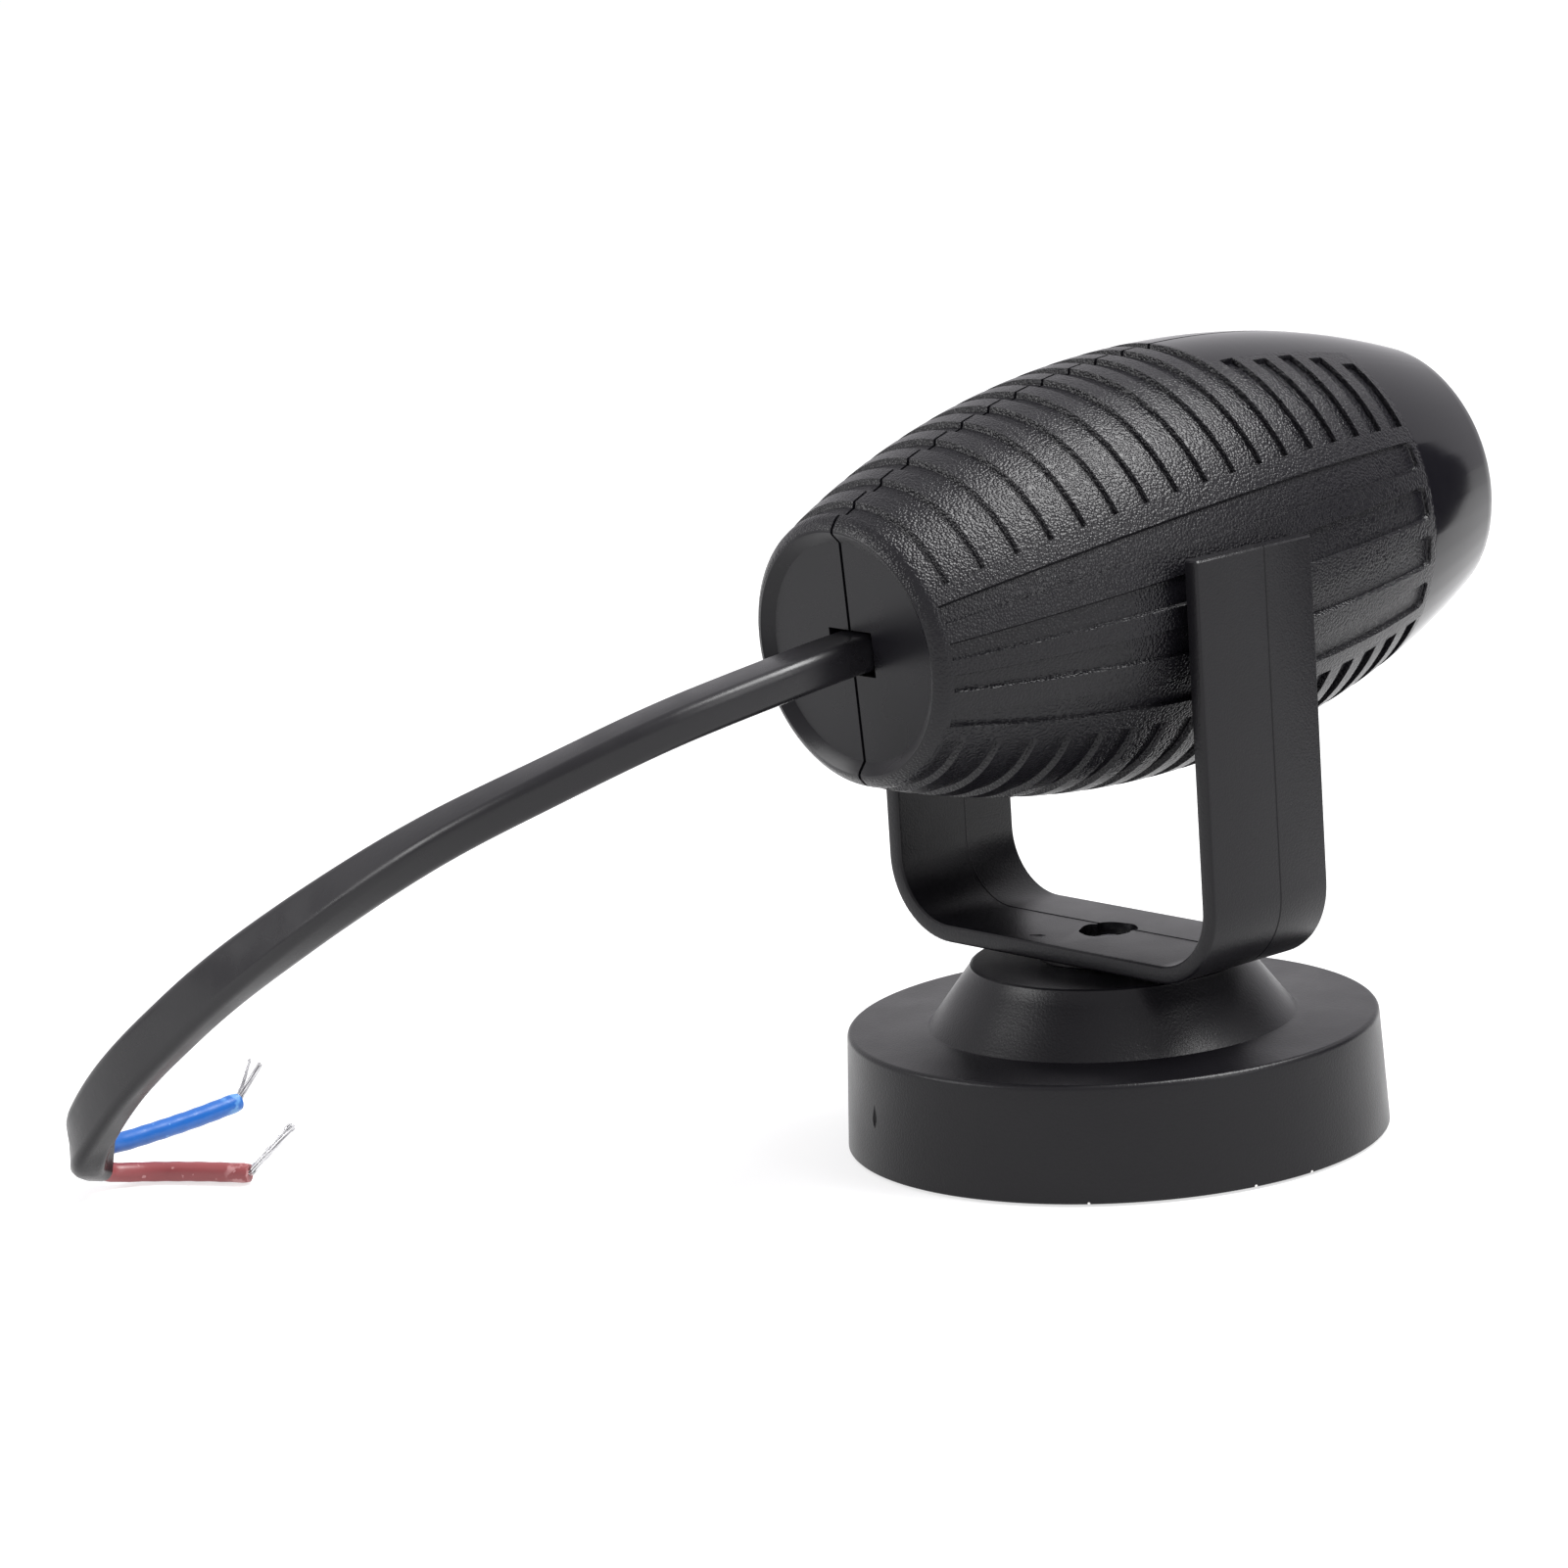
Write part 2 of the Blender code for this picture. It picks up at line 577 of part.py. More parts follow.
def build_housing(name, side, plastic, pivot):
    """One half of the barrel. side is +1 for the left half and -1 for the right half."""
    half = turned(name, barrel_solid(), plastic, pivot, axis="Y", sides=BARREL_SIDES)

    reach = 0.0400
    low_x, high_x = sorted((side * SPLIT_GAP, side * reach))
    bm = bmesh.new()
    add_box(bm, (low_x, -0.0600, -reach), (high_x, 0.0600, reach))
    boolean(half, "INTERSECT", cutter(name + "_side", bm, pivot))

    cavity = turned(name + "_cavity", cavity_solid(), None, pivot, axis="Y", sides=BARREL_SIDES)
    hide_as_cutter(cavity)
    bm = bmesh.new()
    add_rod(bm, (side * PIVOT_BOSS_INNER_X, 0, 0), (side * reach, 0, 0), PIVOT_BOSS_RADIUS, sides=24)
    for y, z in SCREW_PLACES:
        add_rod(bm, (-side * OVERRUN, y, z), (side * reach, y, z), SCREW_BOSS_RADIUS)
    if side < 0:
        for z in (-CLAMP_SCREW_Z, CLAMP_SCREW_Z):
            add_rod(bm, (OVERRUN, CLAMP_Y, z), (-reach, CLAMP_Y, z), CLAMP_BOSS_RADIUS)
    rail_x = sorted((side * (BOARD_HALF_WIDTH - 0.0010), side * reach))
    board_low = BOARD_TOP_Z - BOARD_THICKNESS
    for z in (BOARD_TOP_Z + CLEARANCE, board_low - CLEARANCE - RIB_THICKNESS):
        add_box(bm, (rail_x[0], RAIL_Y[0], z), (rail_x[1], RAIL_Y[1], z + RIB_THICKNESS))
    boolean(cavity, "DIFFERENCE", cutter(name + "_bosses", bm, pivot))
    boolean(half, "DIFFERENCE", cavity)

    bm = bmesh.new()
    slot_x, slot_z = CABLE_SLOT[0] / 2, CABLE_SLOT[1] / 2
    add_box(bm, (-slot_x, LAMP_REAR_Y - 0.0060, -slot_z), (slot_x, LAMP_REAR_Y + 0.0020, slot_z))
    pin_bore = PIVOT_PIN_RADIUS + CLEARANCE
    add_rod(bm, (side * PIVOT_FLOOR_X, 0, 0), (side * reach, 0, 0), pin_bore, sides=24)
    bore_end = side * (0.0200 if side > 0 else SCREW_BORE_DEPTH)
    for y, z in SCREW_PLACES:
        add_rod(bm, (-side * OVERRUN, y, z), (bore_end, y, z), SCREW_SHANK_RADIUS + CLEARANCE)
    if side < 0:
        for z in (-CLAMP_SCREW_Z, CLAMP_SCREW_Z):
            add_rod(bm, (OVERRUN, CLAMP_Y, z), (-0.0070, CLAMP_Y, z), CLAMP_SHANK_RADIUS + CLEARANCE)
    boolean(half, "DIFFERENCE", cutter(name + "_bores", bm, pivot))
    if side > 0:
        bm = bmesh.new()
        for y, z in SCREW_PLACES:
            add_rod(bm, (SCREW_SEAT_X, y, z), (reach, y, z), SCREW_HEAD_RADIUS + CLEARANCE)
        boolean(half, "DIFFERENCE", cutter(name + "_head_bores", bm, pivot))


def add_screw(name, steel, seat, turn, head, shank, parent=None):
    """A pan-head screw: its head stands on the seat point, its shank points along local -Z."""
    head_radius, head_height = head
    shank_radius, shank_length = shank
    screw = turned(name, [
        (head_height, 0.0),
        (head_height, head_radius * 0.7),
        (head_height * 0.6, head_radius),
        (0.0, head_radius),
        (0.0, shank_radius),
        (-shank_length + 0.0010, shank_radius),
        (-shank_length, 0.0),
    ], steel, parent, sides=SMALL_SIDES)
    screw.location = seat
    screw.rotation_euler = turn


def build_fasteners(steel, pivot):
    """The housing's four screws and the cable clamp's two, all driven from the left."""
    along_x = (0.0, math.radians(90), 0.0)
    for number, (y, z) in enumerate(SCREW_PLACES, start=1):
        seat = (SCREW_SEAT_X + CLEARANCE, y, z)
        head = (SCREW_HEAD_RADIUS, SCREW_HEAD_HEIGHT)
        shank = (SCREW_SHANK_RADIUS, SCREW_SEAT_X + SCREW_BORE_DEPTH - OVERRUN)
        add_screw(f"housing_screw_{number}", steel, seat, along_x, head, shank, pivot)
    for number, z in enumerate((CLAMP_SCREW_Z, -CLAMP_SCREW_Z), start=1):
        seat = (CLAMP_TOP_X + CLEARANCE, CLAMP_Y, z)
        head = (CLAMP_HEAD_RADIUS, CLAMP_HEAD_HEIGHT)
        shank = (CLAMP_SHANK_RADIUS, CLAMP_SHANK_LENGTH)
        add_screw(f"clamp_screw_{number}", steel, seat, along_x, head, shank, pivot)


def build_optics(acrylic, rubber, black, pivot):
    """Front lens, its seal, the collimator and the collimator's holder."""
    rim = LENS_SEAT_RADIUS - CLEARANCE
    outline = [(LENS_FRONT, 0.0), (LENS_FRONT, rim), (LENS_FLANGE_REAR, rim)]
    for i in range(5):
        a = math.radians(18 * i)
        outline.append((LENS_FLANGE_REAR + LENS_BULGE * math.sin(a), LENS_OPENING * math.cos(a)))
    outline.append((LENS_FLANGE_REAR + LENS_BULGE, 0.0))
    turned("front_lens", outline, acrylic, pivot, axis="Y", sides=BARREL_SIDES)

    seal_front = LENS_FLANGE_REAR + CLEARANCE
    seal_rear = LENS_RIB_Y[1] - CLEARANCE
    turned("lens_seal", [
        (seal_front, LENS_RIB_RADIUS),
        (seal_front, rim),
        (seal_rear, rim),
        (seal_rear, LENS_RIB_RADIUS),
    ], rubber, pivot, axis="Y", sides=BARREL_SIDES)

    turned("collimator_lens", [
        (-0.0395, 0.0),
        (-0.0395, 0.0112),
        (-0.0383, 0.0112),
        (-0.0383, 0.0106),
        (-0.0345, 0.0092),
        (-0.0310, 0.0074),
        (-0.0283, 0.0052),
        (-0.0283, 0.0030),
        (-0.0315, 0.0026),
        (-0.0315, 0.0),
    ], acrylic, pivot, axis="Y", sides=32)

    turned("lens_holder", [
        (-0.0403, 0.0115),
        (-0.0380, 0.0115),
        (-0.0380, 0.0111),
        (-0.0343, 0.0097),
        (-0.0307, 0.0079),
        (-0.0281, 0.0056),
        (-0.0274, 0.0056),
        (-0.0274, 0.0127),
        (-0.0403, 0.0127),
    ], black, pivot, axis="Y", sides=32)


def build_light_engine(metals, pivot):
    """LED, its board, the thermal pad, the heat sink and the two wires that feed the LED."""
    board_front, board_rear = LED_BOARD_Y
    bm = bmesh.new()
    add_rod(bm, (0, board_front, 0), (0, board_rear, 0), LED_BOARD_RADIUS, sides=6)
    finish("led_board", bm, metals["board_white"], pivot)

    bm = bmesh.new()
    package = 0.00175
    add_box(bm, (-package, board_front - 0.0011, -package), (package, board_front - CLEARANCE, package))
    emitter = finish("led_emitter", bm, metals["phosphor"], pivot)
    dome = bmesh.new()
    bmesh.ops.create_uvsphere(dome, u_segments=16, v_segments=8, radius=0.0014,
                              matrix=Matrix.Translation((0, board_front - 0.0018, 0)))
    boolean(emitter, "UNION", cutter("led_dome", dome, pivot))

    bm = bmesh.new()
    add_rod(bm, (0, board_rear + CLEARANCE, 0), (0, HEAT_SINK_Y[0] - CLEARANCE, 0), 0.0078, sides=24)
    finish("thermal_pad", bm, metals["pad_grey"], pivot)

    bm = bmesh.new()
    add_rod(bm, (0, HEAT_SINK_Y[0], 0), (0, HEAT_SINK_Y[1], 0), HEAT_SINK_RADIUS, sides=36)
    sink = finish("heat_sink", bm, metals["aluminium"], pivot)
    bm = bmesh.new()
    for i in range(-2, 3):
        x = i * FIN_PITCH
        reach = math.sqrt(FIN_CIRCLE**2 - x**2)
        low = (x - FIN_HALF_THICKNESS, HEAT_SINK_Y[1] - 0.0005, -reach)
        high = (x + FIN_HALF_THICKNESS, HEAT_SINK_Y[1] + FIN_HEIGHT, reach)
        add_box(bm, low, high)
    boolean(sink, "UNION", cutter("heat_sink_fins", bm, pivot))
    wire_x, wire_z = 0.0025, -0.0090
    bm = bmesh.new()
    for side in (-1, 1):
        add_rod(bm, (side * wire_x, -0.0300, wire_z), (side * wire_x, -0.0150, wire_z), 0.0011)
    boolean(sink, "DIFFERENCE", cutter("heat_sink_wire_holes", bm, pivot))

    wire_end_y = board_rear + CLEARANCE
    for name, side in (("led_wire_black", -1), ("led_wire_red", 1)):
        route = [
            (side * wire_x, wire_end_y, wire_z),
            (side * wire_x, -0.0200, wire_z),
            (side * wire_x, -0.0165, wire_z + 0.0006),
            (side * 0.0030, -0.0135, -0.0058),
            (side * 0.0034, -0.0105, BOARD_TOP_Z + CLEARANCE + 0.0006),
        ]
        tube(name, smooth_route(route, 0.0020), 0.0006, metals[name], pivot)


def build_driver(metals, pivot):
    """Mains driver: circuit board with transformer, capacitors, rectifier and controller."""
    board_low = BOARD_TOP_Z - BOARD_THICKNESS
    bm = bmesh.new()
    add_box(bm, (-BOARD_HALF_WIDTH, BOARD_Y[0], board_low), (BOARD_HALF_WIDTH, BOARD_Y[1], BOARD_TOP_Z))
    finish("driver_board", bm, metals["board_green"], pivot)

    deck = BOARD_TOP_Z + CLEARANCE
    core_low, core_high = deck, deck + 0.0140
    core_front, core_rear = -0.0080, 0.0060
    leg = 0.0022
    bm = bmesh.new()
    add_box(bm, (-0.0045, core_front, core_low), (0.0045, core_rear, core_high))
    core = finish("transformer_core", bm, metals["ferrite"], pivot)
    bm = bmesh.new()
    low = (-0.0200, core_front + leg, core_low + leg)
    high = (0.0200, core_rear - leg, core_high - leg)
    add_box(bm, low, high)
    boolean(core, "DIFFERENCE", cutter("core_window", bm, pivot))
    bm = bmesh.new()
    margin = leg + CLEARANCE
    low = (-0.0060, core_front + margin, core_low + margin)
    high = (0.0060, core_rear - margin, core_high - margin)
    add_box(bm, low, high)
    coil = finish("transformer_coil", bm, metals["tape_yellow"], pivot)
    soften = coil.modifiers.new("rounded winding", "BEVEL")
    soften.width = 0.0018
    soften.segments = 3

    capacitors = (
        ("input_capacitor", -0.0056, 0.0040, 0.0115),
        ("output_capacitor", 0.0050, 0.0031, 0.0090),
    )
    for name, x, radius, height in capacitors:
        can = turned(name, [
            (0.0, 0.0),
            (0.0, radius),
            (height - 0.0004, radius),
            (height, radius - 0.0005),
            (height, 0.0),
        ], metals["sleeve_black"], pivot, sides=20)
        can.location = (x, 0.0135, deck)

    bm = bmesh.new()
    add_box(bm, (0.0064, 0.0005, deck), (0.0106, 0.0070, deck + 0.0026))
    finish("bridge_rectifier", bm, metals["epoxy"], pivot)
    bm = bmesh.new()
    add_box(bm, (0.0062, -0.0108, deck), (0.0102, -0.0058, deck + 0.0015))
    finish("driver_chip", bm, metals["epoxy"], pivot)


def build_cable_entry(plastic, leads, pivot):
    """Clamp that holds the cable, and the two cores from the cable's end to the driver board."""
    gap = 0.0004
    rear_y, front_y = CLAMP_Y + CLAMP_HALF_WIDTH, CLAMP_Y - CLAMP_HALF_WIDTH
    bm = bmesh.new()
    low = (CABLE_RADIUS + gap, front_y, -CLAMP_HALF_LENGTH)
    high = (CLAMP_TOP_X, rear_y, CLAMP_HALF_LENGTH)
    add_box(bm, low, high)
    clamp = finish("cable_clamp", bm, plastic, pivot)
    bm = bmesh.new()
    for side in (-1, 1):
        low_z, high_z = sorted((side * 0.0036, side * CLAMP_HALF_LENGTH))
        add_box(bm, (gap, front_y, low_z), (CLAMP_TOP_X - 0.0005, rear_y, high_z))
    boolean(clamp, "UNION", cutter("clamp_feet", bm, pivot))
    bm = bmesh.new()
    for z in (-CLAMP_SCREW_Z, CLAMP_SCREW_Z):
        add_rod(bm, (-0.0020, CLAMP_Y, z), (0.0080, CLAMP_Y, z), CLAMP_SHANK_RADIUS + CLEARANCE)
    boolean(clamp, "DIFFERENCE", cutter("clamp_bores", bm, pivot))

    deck = BOARD_TOP_Z + CLEARANCE
    for name, side in (("inner_lead_blue", -1), ("inner_lead_red", 1)):
        route = [
            (side * 0.0011, 0.0236, 0.0),
            (side * 0.0016, 0.0220, -0.0008),
            (side * 0.0024, 0.0204, -0.0034),
            (side * 0.0025, 0.0201, deck),
        ]
        tube(name, smooth_route(route, 0.0018), 0.0008, leads[name], pivot)


# ---- cable ------------------------------------------------------------------------------------------

def build_cable(jacket, blue, red, tinned):
    """The free cable from inside the lamp to the floor, with its two bared leads."""
    tube("power_cable", smooth_route(CABLE_ROUTE, CABLE_STEP), CABLE_RADIUS, jacket)
    tube("lead_blue", smooth_route(BLUE_ROUTE, LEAD_STEP), LEAD_RADIUS, blue)
    tube("lead_red", smooth_route(RED_ROUTE, LEAD_STEP), LEAD_RADIUS, red)
    ends = (("strands_blue", BLUE_ROUTE, BLUE_STRAND_TIP), ("strands_red", RED_ROUTE, RED_STRAND_TIP))
    for name, route, tip in ends:
        last = Vector(route[-1])
        ahead = (last - Vector(route[-2])).normalized()
        start = last + ahead * (CLEARANCE + 0.0001)
        bend = start + ahead * 0.0008
        tube(name, [start, bend, bend.lerp(Vector(tip), 0.5), Vector(tip)], STRAND_RADIUS, tinned)


# ---- everything -------------------------------------------------------------------------------------

def main():
    """Build the whole light."""
    satin_black = material("satin_black_plastic", (0.022, 0.021, 0.023), 0.42)
    bracket_black = material("bracket_black_plastic", (0.024, 0.023, 0.025), 0.38)
    base_black = material("base_black_plastic", (0.021, 0.020, 0.021), 0.40)
    steel = material("plain_steel", (0.50, 0.50, 0.51), 0.40, metallic=1.0)
    screw_steel = material("zinc_screws", (0.62, 0.62, 0.63), 0.30, metallic=1.0)
    spring_steel = material("spring_steel", (0.45, 0.45, 0.46), 0.35, metallic=1.0)
    rubber = material("foam_rubber", (0.030, 0.030, 0.030), 0.90)
    acrylic = material("clear_acrylic", (0.92, 0.95, 0.96), 0.05, transmission=0.9)
    nylon = material("white_nylon", (0.78, 0.77, 0.73), 0.50)
    jacket = material("cable_jacket", (0.020, 0.020, 0.021), 0.50)
    blue = material("blue_core", (0.013, 0.155, 0.715), 0.45)
    red = material("red_core", (0.305, 0.072, 0.082), 0.50)
    tinned = material("tinned_strands", (0.72, 0.72, 0.72), 0.30, metallic=1.0)
    inner = {
        "board_white": material("led_board_white", (0.80, 0.80, 0.78), 0.40),
        "phosphor": material("led_phosphor", (0.90, 0.74, 0.18), 0.35),
        "pad_grey": material("thermal_pad_grey", (0.45, 0.50, 0.55), 0.80),
        "aluminium": material("bare_aluminium", (0.78, 0.79, 0.80), 0.35, metallic=1.0),
        "board_green": material("circuit_board_green", (0.02, 0.16, 0.07), 0.45),
        "ferrite": material("ferrite_grey", (0.06, 0.06, 0.065), 0.60),
        "tape_yellow": material("winding_tape", (0.75, 0.58, 0.08), 0.45),
        "sleeve_black": material("capacitor_sleeve", (0.02, 0.02, 0.03), 0.35),
        "epoxy": material("chip_epoxy", (0.03, 0.03, 0.03), 0.55),
        "led_wire_black": material("black_wire", (0.02, 0.02, 0.02), 0.50),
        "led_wire_red": material("red_wire", (0.45, 0.02, 0.02), 0.50),
    }

    pivot = bpy.data.objects.new("lamp_tilt_axis", None)
    pivot.location = (0.0, 0.0, PIVOT_Z)
    pivot.rotation_euler = (-REST_NOSE_UP, 0.0, 0.0)
    parts.objects.link(pivot)

    build_base(base_black, steel, rubber, screw_steel)
    build_bracket(bracket_black, screw_steel, spring_steel)
    build_housing("housing_left", 1, satin_black, pivot)
    build_housing("housing_right", -1, satin_black, pivot)
    build_fasteners(screw_steel, pivot)
    build_optics(acrylic, rubber, satin_black, pivot)
    build_light_engine(inner, pivot)
    build_driver(inner, pivot)
    build_cable_entry(nylon, {"inner_lead_blue": blue, "inner_lead_red": red}, pivot)
    build_cable(jacket, blue, red, tinned)
    bpy.context.view_layer.update()


main()
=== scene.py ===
"""Looks of a small adjustable spot light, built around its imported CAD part.

The light has a barrel-shaped head in two halves, a U bracket, a round weighted base and a short
flat two-core cable with bare ends. Every class below builds and dresses one sub-assembly. Sizes
are in metres, +Z is up, and the lamp shines towards -Y.
"""

import logging
import math
from dataclasses import dataclass
from enum import Enum
from typing import Dict, List, Optional, Sequence, Tuple

import bmesh
import bpy
from mathutils import Matrix, Vector


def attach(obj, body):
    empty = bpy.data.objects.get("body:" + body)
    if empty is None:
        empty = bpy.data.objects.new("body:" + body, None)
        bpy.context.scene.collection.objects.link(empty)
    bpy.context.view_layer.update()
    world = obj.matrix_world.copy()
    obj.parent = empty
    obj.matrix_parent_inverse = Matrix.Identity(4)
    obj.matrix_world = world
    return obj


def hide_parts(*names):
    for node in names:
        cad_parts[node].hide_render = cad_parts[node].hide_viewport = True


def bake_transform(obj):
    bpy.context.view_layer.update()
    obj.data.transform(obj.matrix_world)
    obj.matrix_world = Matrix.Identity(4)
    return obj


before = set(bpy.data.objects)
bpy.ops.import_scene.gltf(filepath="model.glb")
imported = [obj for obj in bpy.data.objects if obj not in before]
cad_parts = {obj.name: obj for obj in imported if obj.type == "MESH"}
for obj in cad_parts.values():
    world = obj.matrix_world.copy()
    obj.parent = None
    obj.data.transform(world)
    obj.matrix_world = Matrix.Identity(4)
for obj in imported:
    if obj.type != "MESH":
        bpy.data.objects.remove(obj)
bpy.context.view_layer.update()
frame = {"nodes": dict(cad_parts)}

LOG = logging.getLogger("spot_light")
CUT_SCALE = 1000.0
CUT_MARGIN = 0.00002
KNOT_STEPS = 40

Corner = Tuple[float, float]
Colour = Tuple[float, float, float]
Point = Tuple[float, float, float]
Piece = bpy.types.Object
Ring = List[Point]
Material = bpy.types.Material
Socket = bpy.types.NodeSocket


# ---- mesh helpers ----


def link(name: str, mesh: bpy.types.Mesh) -> Piece:
    """Puts a mesh into the scene.

    Args:
        name: the piece's name.
        mesh: its geometry.

    Returns:
        The new object.
    """
    piece = bpy.data.objects.new(name, mesh)
    bpy.context.scene.collection.objects.link(piece)
    return piece


def shade(piece: Piece, sharp_deg: float = 35.0) -> None:
    """Shades a piece smoothly and keeps its real corners crisp.

    Args:
        piece: a mesh object.
        sharp_deg: edges that fold by more than this stay sharp.
    """
    bm = bmesh.new()
    bm.from_mesh(piece.data)
    limit = math.radians(sharp_deg)
    for face in bm.faces:
        face.smooth = True
    for edge in bm.edges:
        edge.smooth = not edge.is_manifold or edge.calc_face_angle(0.0) < limit
    bm.to_mesh(piece.data)
    bm.free()


def mesh_from(points: Sequence[Point], faces: Sequence[Sequence[int]], name: str) -> bpy.types.Mesh:
    """A mesh from plain points and faces, with its normals turned outwards.

    Args:
        points: corner positions.
        faces: corner numbers of each face.
        name: the mesh's name.

    Returns:
        The mesh.
    """
    mesh = bpy.data.meshes.new(name)
    mesh.from_pydata(list(points), [], [list(f) for f in faces])
    bm = bmesh.new()
    bm.from_mesh(mesh)
    bmesh.ops.recalc_face_normals(bm, faces=bm.faces)
    bm.to_mesh(mesh)
    bm.free()
    return mesh


def circle(sides: int) -> List[Corner]:
    """Cosine and sine of evenly spaced turns round a circle."""
    turns = [2 * math.pi * i / sides for i in range(sides)]
    return [(math.cos(turn), math.sin(turn)) for turn in turns]


def ring_round(middle: Vector, across: Vector, up: Vector, radius: float, sides: int) -> Ring:
    """A round ring of points in the plane of two directions."""
    return [tuple(middle + (across * c + up * s) * radius) for c, s in circle(sides)]


def loft(name: str, rings: Sequence[Ring], loop: bool = False) -> Piece:
    """Joins rings of equal length into a closed body.

    Args:
        name: the piece's name.
        rings: rings of corner points, in order.
        loop: True joins the last ring to the first; False caps both ends.

    Returns:
        The piece.
    """
    size = len(rings[0])
    points = [p for ring in rings for p in ring]
    faces = []
    for i in range(len(rings) if loop else len(rings) - 1):
        a, b = i * size, ((i + 1) % len(rings)) * size
        for j in range(size):
            k = (j + 1) % size
            faces.append((a + j, a + k, b + k, b + j))
    if not loop:
        faces.append(range(size))
        faces.append(range((len(rings) - 1) * size, len(rings) * size))
    return link(name, mesh_from(points, faces, name))


def revolve(name: str, outline: Sequence[Corner], sides: int) -> Piece:
    """Turns a closed outline about the Z axis.

    Args:
        name: the piece's name.
        outline: (height, radius) corners of a closed line off the axis.
        sides: steps round the axis.

    Returns:
        The piece.
    """
    rings = [[(r * c, r * s, z) for z, r in outline] for c, s in circle(sides)]
    return loft(name, rings, loop=True)


def rod(name: str, start: Point, end: Point, radii: Sequence[float], sides: int = 32) -> Piece:
    """A round rod between two points, with a radius for each evenly spaced place along it.

    Args:
        name: the piece's name.
        start: middle of the first end.
        end: middle of the last end.
        radii: radius at each place.
        sides: steps round the rod.

    Returns:
        The piece.
    """
    a, b = Vector(start), Vector(end)
    along = (b - a).normalized()
    across = along.orthogonal().normalized()
    up = along.cross(across)
    last = len(radii) - 1
    return loft(name, [ring_round(a.lerp(b, i / last), across, up, r, sides) for i, r in enumerate(radii)])


def block(name: str, low: Point, high: Point) -> Piece:
    """A plain box between two corners.

    Args:
        name: the piece's name.
        low: the corner with the lowest coordinates.
        high: the opposite corner.

    Returns:
        The piece.
    """
    (x0, y0, z0), (x1, y1, z1) = low, high
    lower = [(x0, y0, z0), (x1, y0, z0), (x1, y1, z0), (x0, y1, z0)]
    upper = [(x, y, z1) for x, y, _ in lower]
    return loft(name, [lower, upper])


def carve(piece: Piece, tools: Sequence[Piece]) -> None:
    """Cuts tools out of a piece, then removes them. The cut is made at a larger scale, for precision.

    Args:
        piece: the mesh object to cut.
        tools: closed mesh objects in the same coordinates.
    """
    larger = Matrix.Scale(CUT_SCALE, 4)
    piece.data.transform(larger)
    for tool in tools:
        tool.data.transform(larger)
        cut = piece.modifiers.new("cut", "BOOLEAN")
        cut.operation, cut.solver, cut.object = "DIFFERENCE", "EXACT", tool
        bpy.context.view_layer.update()
        shaped = piece.evaluated_get(bpy.context.evaluated_depsgraph_get())
        mesh = bpy.data.meshes.new_from_object(shaped)
        piece.modifiers.clear()
        piece.data = mesh
        bpy.data.objects.remove(tool)
    piece.data.transform(larger.inverted())


def merge(piece: Piece, others: Sequence[Piece]) -> None:
    """Adds other pieces' geometry to a piece, then removes them.

    Args:
        piece: the mesh object that grows.
        others: mesh objects in the same coordinates.
    """
    bm = bmesh.new()
    bm.from_mesh(piece.data)
    for other in others:
        bm.from_mesh(other.data)
        bpy.data.objects.remove(other)
    bm.to_mesh(piece.data)
    bm.free()


def dress(piece: Piece, sharp_deg: float, material: Material, node: str) -> None:
    """Shades a piece, gives it its material and hides the CAD node that it stands for.

    Args:
        piece: a mesh object.
        sharp_deg: edges that fold by more than this stay sharp.
        material: its only material.
        node: the CAD node that it replaces.
    """
    shade(piece, sharp_deg)
    piece.data.materials.clear()
    piece.data.materials.append(material)
    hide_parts(node)


def between(first: float, last: float, share: float) -> float:
    """The number at a share of the way from the first to the last."""
    return first + (last - first) * share


def smooth_step(t: float) -> float:
    """A soft change from 0 at t = 0 to 1 at t = 1."""
    t = min(max(t, 0.0), 1.0)
    return t * t * (3 - 2 * t)


def smooth_route(points: Sequence[Point], step: float) -> List[Vector]:
    """A smooth line through points, in even steps.

    Args:
        points: the places that the line passes.
        step: distance between the returned points.

    Returns:
        Points along the line.
    """
    knots = [Vector(p) for p in points]
    knots = [2 * knots[0] - knots[1]] + knots + [2 * knots[-1] - knots[-2]]
    fine = []
    for i in range(1, len(knots) - 2):
        p0, p1, p2, p3 = knots[i - 1 : i + 3]
        for j in range(KNOT_STEPS):
            t = j / KNOT_STEPS
            a = 2 * p1 + (p2 - p0) * t
            b = (2 * p0 - 5 * p1 + 4 * p2 - p3) * t * t
            c = (3 * p1 - p0 - 3 * p2 + p3) * t**3
            fine.append((a + b + c) / 2)
    fine.append(knots[-2])
    gone = [0.0]
    for a, b in zip(fine, fine[1:]):
        gone.append(gone[-1] + (b - a).length)
    count = max(2, round(gone[-1] / step))
    line, k = [], 0
    for i in range(count + 1):
        goal = gone[-1] * i / count
        while k < len(gone) - 2 and gone[k + 1] < goal:
            k += 1
        share = (goal - gone[k]) / max(gone[k + 1] - gone[k], 1e-12)
        line.append(fine[k].lerp(fine[k + 1], share))
    return line


def directions(line: Sequence[Vector]) -> List[Vector]:
    """The direction of travel at each point of a line."""
    ends = [line[0]] + list(line) + [line[-1]]
    return [(ends[i + 2] - ends[i]).normalized() for i in range(len(line))]


# ---- finishes ----


class GrainKind(Enum):
    """How a surface's fine relief is made."""

    NOISE = "noise"
    PEBBLE = "pebble"


@dataclass(frozen=True)
class Grain:
    """Fine relief on a surface.

    Attributes:
        size: width of one grain.
        depth: height of the relief.
        kind: noise, or rounded pebbles.
        sheen_change: how far the roughness swings with slow stains.
    """

    size: float
    depth: float
    kind: GrainKind = GrainKind.NOISE
    sheen_change: float = 0.05


